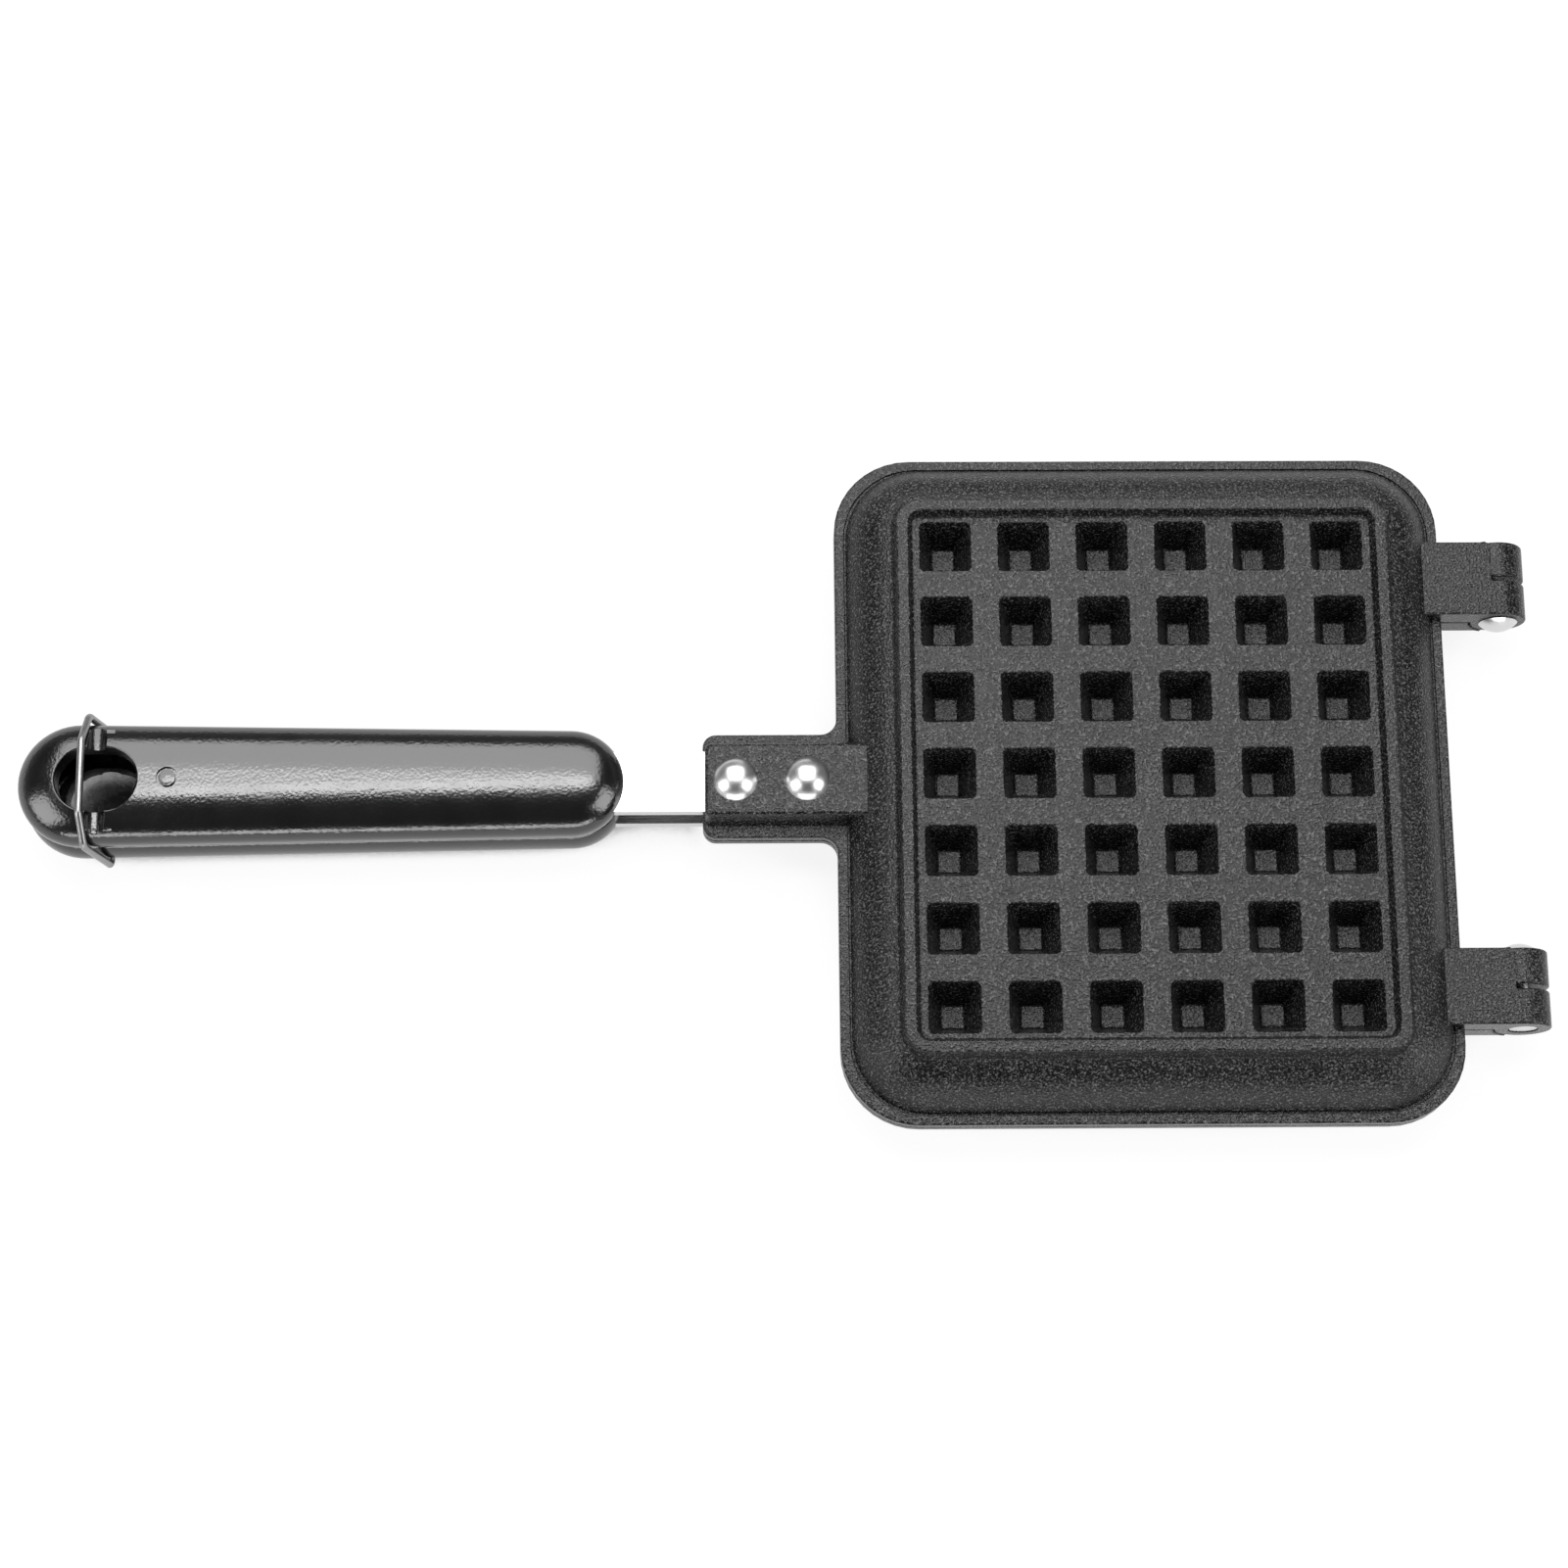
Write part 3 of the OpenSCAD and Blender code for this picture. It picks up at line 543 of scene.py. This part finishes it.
def handle_loop(inset):
    """Outline drawn in by inset: round front end, straight sides, round rear end."""
    ends = []
    for cx, r, half, middle in (
        (FRONT_CX, FRONT_R - inset, math.pi / 2 - TAPER, 0.0),
        (REAR_CX, REAR_R - inset, math.pi / 2 + TAPER, math.pi),
    ):
        turns = [middle - half + 2 * half * k / END_STEPS for k in range(END_STEPS + 1)]
        ends.append([(cx + r * math.cos(t), r * math.sin(t)) for t in turns])
    points = []
    for end, following in ((ends[0], ends[1]), (ends[1], ends[0])):
        (x0, y0), (x1, y1) = end[-1], following[0]
        points += end
        points += [(x0 + (x1 - x0) * k / SIDE_STEPS, y0 + (y1 - y0) * k / SIDE_STEPS)
                   for k in range(1, SIDE_STEPS)]
    return points


def crown_height(inset):
    """Height of the handle's outside where its outline has drawn in by inset."""
    share = min(1.0, max(0.0, 1.0 - inset / FRONT_R))
    along = share ** (CROWN_POWER / 2)
    return WAIST_Z + CROWN * math.sqrt(max(0.0, 1.0 - along * along)) ** (2 / CROWN_POWER)


def inside_by(x, y):
    """How far a point of the plan lies inside the handle's outline, and the way out."""
    side = math.copysign(1.0, y)
    y = abs(y)
    for cx, r, at_end in (
        (FRONT_CX, FRONT_R, math.atan2(y, x - FRONT_CX) < math.pi / 2 - TAPER),
        (REAR_CX, REAR_R, math.atan2(y, x - REAR_CX) > math.pi / 2 - TAPER),
    ):
        if at_end:
            away = max(math.hypot(x - cx, y), 1e-6)
            return r - away, (x - cx) / away, side * y / away
    inset = FRONT_R - (x - FRONT_CX) * math.sin(TAPER) - y * math.cos(TAPER)
    return inset, math.sin(TAPER), side * math.cos(TAPER)


def crown_at(x, y):
    """Height of the handle's outside above a point of its plan."""
    return crown_height(inside_by(x, y)[0])


def crown_normal(x, y):
    """The way the handle's outside faces above a point of its plan."""
    inset, out_x, out_y = inside_by(x, y)
    inset = min(max(inset, 2 * CROWN_PROBE), FRONT_R - 2 * CROWN_PROBE)
    rise = crown_height(inset + CROWN_PROBE) - crown_height(inset - CROWN_PROBE)
    slope = rise / (2 * CROWN_PROBE)
    return Vector((out_x * slope, out_y * slope, 1.0)).normalized()


def handle_outside():
    """The handle as one solid lump: tucked in below its waist, crowned above it."""
    levels = []
    for t in quarter_turn(TUCK_STEPS):
        levels.append((TUCK * (1 - math.sin(t)), WAIST_Z - (WAIST_Z - OPEN_Z) * math.cos(t)))
    power = 2 / CROWN_POWER
    for t in quarter_turn(CROWN_STEPS)[1:]:
        inset = FRONT_R * (1 - math.cos(t) ** power)
        levels.append((min(inset, FRONT_R - CROWN_END), WAIST_Z + CROWN * math.sin(t) ** power))
    bm = bmesh.new()
    skin(bm, [add_loop(bm, handle_loop(inset), z) for inset, z in levels], True, True)
    return object_from(bm, "handle_outside")


def handle_inside():
    """Cutter for the hollow, coved where its walls meet the roof."""
    levels = [(HANDLE_WALL, OPEN_Z - OVERRUN)]
    for t in quarter_turn(EDGE_STEPS):
        levels.append((HANDLE_WALL + COVE * (1 - math.cos(t)), ROOF_Z - COVE + COVE * math.sin(t)))
    bm = bmesh.new()
    skin(bm, [add_loop(bm, handle_loop(inset), z) for inset, z in levels], True, True)
    return object_from(bm, "handle_inside")


def hole_outline(grow):
    """Outline of the hanging hole, made larger by grow all round."""
    reach = (HOLE_LENGTH - HOLE_WIDTH) / 2
    r = HOLE_WIDTH / 2 + grow
    points = []
    for side, middle in ((1, 0.0), (-1, math.pi)):
        for k in range(HOLE_STEPS + 1):
            t = middle - math.pi / 2 + math.pi * k / HOLE_STEPS
            points.append((HOLE_X + side * reach + r * math.cos(t), r * math.sin(t)))
    return points


def hole_cutter():
    """The hanging hole, flared at the top so that it leaves a rounded rim on the crown."""
    bm = bmesh.new()
    loops = [add_loop(bm, hole_outline(0.0), OPEN_Z - OVERRUN)]
    for t in quarter_turn(EDGE_STEPS):
        outline = hole_outline(RIM_R * (1 - math.cos(t)))
        drop_by = RIM_R * (1 - math.sin(t))
        loops.append([bm.verts.new((x, y, crown_at(x, y) - drop_by)) for x, y in outline])
    outline = hole_outline(RIM_R + OVERRUN)
    loops.append([bm.verts.new((x, y, crown_at(x, y) + RIM_R)) for x, y in outline])
    loops.append(add_loop(bm, outline, HANDLE_TOP_Z + RIM_R + OVERRUN))
    skin(bm, loops, True, True)
    return object_from(bm, "hole_cutter")


def notch_bed():
    """Plastic under the notches, between the side walls."""
    low, high = HOLE_X - NOTCH_R - COLLAR_WALL, HOLE_X + NOTCH_R + COLLAR_WALL
    top = ROOF_Z + BED_BITE
    outline = [(low, BED_Z), (high, BED_Z), (high, top), (low, top)]
    return prism("bed", outline, TUCK - REAR_R, REAR_R - TUCK, "Y")


def notch_cutter():
    """One bar across the handle; it passes through the air of the hanging hole."""
    z = NOTCH_FLOOR_Z + NOTCH_R
    outline = arc_points(HOLE_X, z, NOTCH_R, 180, 360, NOTCH_STEPS)
    outline += [(HOLE_X + NOTCH_R, z + 4 * NOTCH_R), (HOLE_X - NOTCH_R, z + 4 * NOTCH_R)]
    return prism("notch", outline, -REAR_R - OVERRUN, REAR_R + OVERRUN, "Y")


def tang_slot():
    """Cutter for the slot in the front end, through which the tang comes in."""
    front = FRONT_CX + FRONT_R
    low, high = front - SLOT_RUN, front + OVERRUN
    outline = [(low, -SLOT_HALF), (high, -SLOT_HALF), (high, SLOT_HALF), (low, SLOT_HALF)]
    return prism("slot", outline, SLOT_LOW, SLOT_HIGH)


def handle(pivoted):
    """One handle shell; the lower one is pivoted, with a bore for the bail on each side."""
    obj = handle_outside()
    combine(obj, handle_inside(), "DIFFERENCE")
    roof = ROOF_Z + BOSS_BITE
    for x in BOSS_X:
        combine(obj, prism("boss", circle(x, 0, BOSS_R), BOSS_Z, roof), "UNION")
    combine(obj, prism("collar", hole_outline(COLLAR_WALL), COLLAR_Z, roof), "UNION")
    combine(obj, notch_bed(), "UNION")
    combine(obj, hole_cutter(), "DIFFERENCE")
    combine(obj, notch_cutter(), "DIFFERENCE")
    top = HANDLE_TOP_Z
    mark = prism("mark", circle(MARK_X, 0, MARK_R), top - 2 * MARK_DEPTH, top + OVERRUN)
    combine(obj, mark, "DIFFERENCE")
    outline = circle(MARK_X, 0, MARK_R - MARK_GROOVE)
    low, high = top - 3 * MARK_DEPTH, top - MARK_SINK
    combine(obj, prism("disc", outline, low, high, bevel=MARK_BEVEL), "UNION")
    combine(obj, tang_slot(), "DIFFERENCE")
    if pivoted:
        outline = circle(PIVOT_X, PIVOT_Z, PIVOT_R, PIVOT_SIDES)
        for side in (1, -1):
            low, high = sorted((side * (REAR_R - PIVOT_DEPTH), side * (REAR_R + OVERRUN)))
            combine(obj, prism("pivot", outline, low, high, "Y"), "DIFFERENCE")
    soften_notches(obj)
    smooth(obj, HANDLE_SHARP)
    follow_crown(obj)
    return obj


def on_notch_rim(edge):
    """Whether an edge is where a notch cuts the crown."""
    if len(edge.link_faces) != 2 or edge.calc_face_angle(0.0) < math.radians(RIM_TURN):
        return False
    ends = [v.co for v in edge.verts]
    beside = all(abs(c.x - HOLE_X) < NOTCH_R + RIM_SLACK and abs(c.y) > RIM_FROM_Y for c in ends)
    return beside and all(abs(c.z - crown_at(c.x, c.y)) < CROWN_NEAR for c in ends)


def soften_notches(obj):
    """Rounds the upper edges of the notches where they cut the crown."""
    bm = bmesh.new()
    bm.from_mesh(obj.data)
    bmesh.ops.remove_doubles(bm, verts=bm.verts, dist=RIM_MERGE)
    rims = [edge for edge in bm.edges if on_notch_rim(edge)]
    bmesh.ops.bevel(bm, geom=rims, offset=NOTCH_SOFT, segments=2, profile=0.5,
                    affect="EDGES", clamp_overlap=True)
    bm.to_mesh(obj.data)
    bm.free()


def follow_crown(obj):
    """Gives the faces on the crown its exact normals, so that cuts in it don't bend the light."""
    mesh = obj.data
    normals = []
    for face in mesh.polygons:
        corners = [mesh.vertices[i].co for i in face.vertices]
        centre = face.center
        on_mark = all(math.hypot(c.x - MARK_X, c.y) < MARK_R - CROWN_NEAR for c in corners)
        high = all(c.z > WAIST_Z - STEP for c in corners)
        near = all(abs(c.z - crown_at(c.x, c.y)) < CROWN_NEAR for c in corners)
        agrees = face.normal.dot(crown_normal(centre.x, centre.y)) > CROWN_AGREE
        if high and near and agrees and not on_mark:
            normals += [crown_normal(c.x, c.y) for c in corners]
        else:
            normals += [Vector((0, 0, 0))] * len(corners)
    mesh.normals_split_custom_set(normals)


# Materials

def ranged(tree, value, from_low, from_high, low, high, soft=False):
    """A node that takes value from one span of numbers to another."""
    node = tree.nodes.new("ShaderNodeMapRange")
    if soft:
        node.interpolation_type = "SMOOTHSTEP"
    node.inputs["From Min"].default_value = from_low
    node.inputs["From Max"].default_value = from_high
    node.inputs["To Min"].default_value = low
    node.inputs["To Max"].default_value = high
    tree.links.new(value, node.inputs["Value"])
    return node.outputs["Result"]


def math_node(tree, operation, one, two):
    node = tree.nodes.new("ShaderNodeMath")
    node.operation = operation
    tree.links.new(one, node.inputs[0])
    tree.links.new(two, node.inputs[1])
    return node.outputs[0]


class Nodes:
    """A node material with a Principled shader, and short calls to add nodes."""

    def __init__(self, name):
        self.mat = bpy.data.materials.new(name)
        self.mat.use_nodes = True
        self.tree = self.mat.node_tree
        self.shader = self.tree.nodes["Principled BSDF"]
        self.coords = self.tree.nodes.new("ShaderNodeTexCoord").outputs["Object"]

    def add(self, kind):
        return self.tree.nodes.new(kind)

    def link(self, a, b):
        self.tree.links.new(a, b)

    def noise(self, scale, detail=2.0, rough=0.5, coords=None):
        node = self.add("ShaderNodeTexNoise")
        node.inputs["Scale"].default_value = scale
        node.inputs["Detail"].default_value = detail
        node.inputs["Roughness"].default_value = rough
        self.link(coords or self.coords, node.inputs["Vector"])
        return node.outputs["Fac"]

    def ramp(self, value, stops):
        node = self.add("ShaderNodeValToRGB")
        while len(node.color_ramp.elements) < len(stops):
            node.color_ramp.elements.new(0.5)
        for element, (place, colour) in zip(node.color_ramp.elements, stops):
            if not isinstance(colour, tuple):
                colour = (colour, colour, colour)
            element.position = place
            element.color = (*colour, 1)
        self.link(value, node.inputs["Fac"])
        return node.outputs["Color"]

    def span(self, value, low, high, from_low, from_high):
        return ranged(self.tree, value, from_low, from_high, low, high)

    def stretched(self, x, y, z):
        node = self.add("ShaderNodeMapping")
        node.inputs["Scale"].default_value = (x, y, z)
        self.link(self.coords, node.inputs["Vector"])
        return node.outputs["Vector"]

    def bump(self, height, distance, strength=1.0):
        node = self.add("ShaderNodeBump")
        node.inputs["Distance"].default_value = distance
        node.inputs["Strength"].default_value = strength
        self.link(height, node.inputs["Height"])
        return node.outputs["Normal"]

    def put(self, **values):
        for key, value in values.items():
            socket = self.shader.inputs[key.replace("_", " ")]
            if isinstance(value, bpy.types.NodeSocket):
                self.link(value, socket)
            else:
                socket.default_value = value
        return self.mat


def coating():
    """Dark non-stick coating with fine pale flecks and a pebbled surface."""
    m = Nodes("speckled_coating")
    grain = m.noise(scale=1950, detail=1.0, rough=0.6)
    flecks = m.ramp(grain, [(0.42, 0.002), (0.52, 0.005), (0.60, 0.026), (0.72, 0.085)])
    cloud = m.noise(scale=45, detail=3.0, rough=0.55)
    rough = m.span(cloud, low=0.20, high=0.27, from_low=0.3, from_high=0.7)
    normal = m.bump(grain, distance=0.00024)
    return m.put(Base_Color=flecks, Roughness=rough, Normal=normal, Specular_IOR_Level=0.31)


def bakelite():
    """Black thermoset moulding with a slight orange peel."""
    m = Nodes("black_moulding")
    cloud = m.noise(scale=60, detail=3.0, rough=0.6)
    tint = m.ramp(cloud, [(0.3, (0.0022, 0.0022, 0.0024)), (0.75, (0.0042, 0.0042, 0.0045))])
    gloss = m.noise(scale=150, detail=4.0, rough=0.6)
    rough = m.span(gloss, low=0.16, high=0.22, from_low=0.3, from_high=0.75)
    peel = m.noise(scale=1500, detail=1.0, rough=0.5)
    normal = m.bump(peel, distance=0.00005)
    return m.put(Base_Color=tint, Roughness=rough, Normal=normal, Specular_IOR_Level=1.0)


def steel(name, base, along, rough_low, rough_high):
    """Bare steel with fine lines; along gives the lines' scale on each axis."""
    m = Nodes(name)
    lines = m.noise(scale=1.0, detail=4.0, rough=0.65, coords=m.stretched(*along))
    dull = 0.86 * base
    tint = m.ramp(lines, [(0.25, (dull, dull, base * 0.87)), (0.75, (base, base, base))])
    rough = m.span(lines, low=rough_low, high=rough_high, from_low=0.3, from_high=0.7)
    normal = m.bump(lines, distance=0.00003, strength=0.4)
    return m.put(Base_Color=tint, Metallic=1.0, Roughness=rough, Normal=normal)


def bright_metal(name, base, scale, rough_low, rough_high):
    """Metal with a soft cloud in its tint and gloss, and a finer unevenness."""
    m = Nodes(name)
    cloud = m.noise(scale=scale, detail=4.0, rough=0.6)
    dull = 0.9 * base
    tint = m.ramp(cloud, [(0.3, (dull, dull, base * 0.91)), (0.7, (base, base, base))])
    rough = m.span(cloud, low=rough_low, high=rough_high, from_low=0.3, from_high=0.7)
    uneven = m.noise(scale=scale * 4, detail=3.0, rough=0.6)
    normal = m.bump(uneven, distance=0.00003, strength=0.35)
    return m.put(Base_Color=tint, Metallic=1.0, Roughness=rough, Normal=normal)


COATING = coating()
BAKELITE = bakelite()
TANG = steel("brushed_tang", base=0.62, along=(60, 2600, 2600), rough_low=0.22, rough_high=0.34)
RIVET = bright_metal("rivet_aluminium", base=0.72, scale=300, rough_low=0.28, rough_high=0.36)
SCREW = bright_metal("zinc_screw", base=0.62, scale=400, rough_low=0.25, rough_high=0.4)
WIRE = steel("zinc_wire", base=0.32, along=(1500, 300, 1500), rough_low=0.28, rough_high=0.42)
TANG_BEVEL = 0.25

BY_SLOT = {
    "plate": COATING,
    "tang": TANG,
    "handle": BAKELITE,
    "rivet": RIVET,
    "screw": SCREW,
    "wire": WIRE,
}
slot_of = {s["node"]: s["material_slot"] for s in frame["record"]["subparts"]}
for name, obj in nodes.items():
    obj.data.materials.clear()
    obj.data.materials.append(BY_SLOT[slot_of[name]])

for name in ("upper_tang", "lower_tang"):
    bevel = nodes[name].modifiers.new("edges", "BEVEL")
    bevel.width = TANG_BEVEL * MM
    bevel.segments = 2
    bevel.limit_method = "ANGLE"


# Pieces

plate = casting()
dress(plate, "upper_casting", "upper_plate", "lid", COATING, False)
dress(plate, "lower_casting", "lower_plate", "base", COATING, True)
drop(plate)

plain_handle = handle(False)
dress(plain_handle, "upper_grip", "upper_handle", "lid", BAKELITE, False, weigh=False)
drop(plain_handle)
pivot_handle = handle(True)
dress(pivot_handle, "lower_grip", "lower_handle", "base", BAKELITE, True, weigh=False)
drop(pivot_handle)


# Floor, world and lights

# The floor is a square that lies a little under the part. To the eye most of
# its light is a glow, so that it stays white, and the rest shows the shadows.
FLOOR_HALF, FLOOR_DROP = 4.0, 0.0002

# How open the floor is to the air decides the glow's share and darkens the
# floor's colour, a painted shade where the floor is hidden: how far round a
# point is looked at, in metres, between which openness each goes from its low
# to its high value, and the values.
OPEN_REACH, OPEN_SAMPLES = 0.04, 24
GLOW_FROM, GLOW_TO, GLOW_LOW, GLOW_HIGH = 0.35, 0.46, 0.0, 0.93
PAINTED_SHADE_FROM, PAINTED_SHADE_TO, PAINTED_SHADE_LOW, PAINTED_SHADE_HIGH = 0.32, 0.43, 0.02, 0.93

# From the handle's front end to the tab this least openness fades in, so that
# only the floor under the lower handle turns dark with the painted shade.
OPEN_LEAST = 0.45

# The world's brightness, and the heights in its direction between which it falls.
WORLD_FROM, WORLD_TO, WORLD_DOWN, WORLD_UP = 0.12, 0.5, 0.22, 0.06

# Each softbox: name, place, width, height and radiance. All face the origin.
SOFTBOXES = (
    ("back_softbox", (0.0, 0.58, 0.97), 1.3, 1.15, 3.6),
    ("top_core", (0.0, 0.20, 1.25), 0.90, 0.26, 6.0),
    ("front_strip", (0.0, -1.15, 0.26), 1.5, 0.24, 5.2),
    ("left_softbox", (-0.88, -0.34, 0.62), 0.66, 0.80, 4.0),
    ("right_softbox", (0.88, -0.34, 0.62), 0.66, 0.80, 4.0),
)


def openness(tree):
    """How open the floor is at a point, raised towards and past the tab."""
    hidden = tree.nodes.new("ShaderNodeAmbientOcclusion")
    hidden.samples = OPEN_SAMPLES
    hidden.inputs["Distance"].default_value = OPEN_REACH
    coords = tree.nodes.new("ShaderNodeTexCoord")
    place = tree.nodes.new("ShaderNodeSeparateXYZ")
    tree.links.new(coords.outputs["Object"], place.inputs[0])
    front, tab = (FRONT_CX + FRONT_R + SHIFT_X) * MM, (SKIRT_X + SHIFT_X) * MM
    least = ranged(tree, place.outputs["X"], front, tab, 0.0, OPEN_LEAST)
    return math_node(tree, "MAXIMUM", hidden.outputs["AO"], least)


def floor_material():
    """White to the eye and in reflections, and pale paper to the light itself; where the floor is
    hidden its glow falls away and its colour darkens, a painted shade.
    """
    mat = bpy.data.materials.new("floor_white")
    mat.use_nodes = True
    tree = mat.node_tree
    tree.nodes.clear()
    out = tree.nodes.new("ShaderNodeOutputMaterial")
    diffuse = tree.nodes.new("ShaderNodeBsdfDiffuse")
    glow = tree.nodes.new("ShaderNodeEmission")
    glow.inputs["Color"].default_value = (1, 1, 1, 1)
    path = tree.nodes.new("ShaderNodeLightPath").outputs
    seen = math_node(tree, "MAXIMUM", path["Is Camera Ray"], path["Is Glossy Ray"])
    opened = openness(tree)
    # Painted shade: where the floor is hidden, its glow falls away and its own colour turns dark.
    glowing = ranged(tree, opened, GLOW_FROM, GLOW_TO, GLOW_LOW, GLOW_HIGH)
    painted_shade = ranged(tree, opened, PAINTED_SHADE_FROM, PAINTED_SHADE_TO, PAINTED_SHADE_LOW, PAINTED_SHADE_HIGH, soft=True)
    tree.links.new(painted_shade, diffuse.inputs["Color"])
    mix = tree.nodes.new("ShaderNodeMixShader")
    tree.links.new(math_node(tree, "MULTIPLY", seen, glowing), mix.inputs["Fac"])
    tree.links.new(diffuse.outputs[0], mix.inputs[1])
    tree.links.new(glow.outputs[0], mix.inputs[2])
    tree.links.new(mix.outputs[0], out.inputs["Surface"])
    return mat


def floor():
    mesh = bpy.data.meshes.new("floor")
    r = FLOOR_HALF
    mesh.from_pydata([(-r, -r, 0), (r, -r, 0), (r, r, 0), (-r, r, 0)], [], [(0, 1, 2, 3)])
    obj = bpy.data.objects.new("floor", mesh)
    bpy.context.scene.collection.objects.link(obj)
    obj.location.z = -FLOOR_DROP
    mesh.materials.append(floor_material())


def world():
    """Plain surroundings, lighter near the horizon than overhead."""
    w = bpy.data.worlds.new("studio")
    bpy.context.scene.world = w
    w.use_nodes = True
    tree = w.node_tree
    back = tree.nodes["Background"]
    coords = tree.nodes.new("ShaderNodeTexCoord")
    split = tree.nodes.new("ShaderNodeSeparateXYZ")
    tree.links.new(coords.outputs["Generated"], split.inputs[0])
    fall = (WORLD_FROM, WORLD_TO, WORLD_DOWN, WORLD_UP)
    tree.links.new(ranged(tree, split.outputs["Z"], *fall, soft=True), back.inputs["Color"])
    back.inputs["Strength"].default_value = 1.0


def softbox(name, place, width, height, radiance):
    """Rectangle light at place that faces the origin."""
    light = bpy.data.lights.new(name, "AREA")
    light.shape = "RECTANGLE"
    light.size, light.size_y = width, height
    light.energy = radiance * math.pi * width * height
    obj = bpy.data.objects.new(name, light)
    obj.location = place
    obj.rotation_mode = "QUATERNION"
    obj.rotation_quaternion = (-Vector(place)).to_track_quat("-Z", "Y")
    bpy.context.scene.collection.objects.link(obj)


floor()
world()
for box in SOFTBOXES:
    softbox(*box)


# Camera
# Fitted to the corners of the pits in the photo: sensor and lens in
# millimetres, place in metres, turns in degrees.
SENSOR, LENS = 36.0, 87.2125
CAMERA_PLACE = (-0.014795, -0.232921, 0.852085)
CAMERA_TURNS = (15.643781, -0.906331, -0.515213)

lens = bpy.data.cameras.new("camera")
lens.sensor_width = SENSOR
lens.lens = LENS
camera = bpy.data.objects.new("camera", lens)
camera.location = CAMERA_PLACE
camera.rotation_mode = "XYZ"
camera.rotation_euler = tuple(math.radians(v) for v in CAMERA_TURNS)
bpy.context.scene.collection.objects.link(camera)
bpy.context.scene.camera = camera

bpy.context.scene.view_settings.view_transform = "Standard"
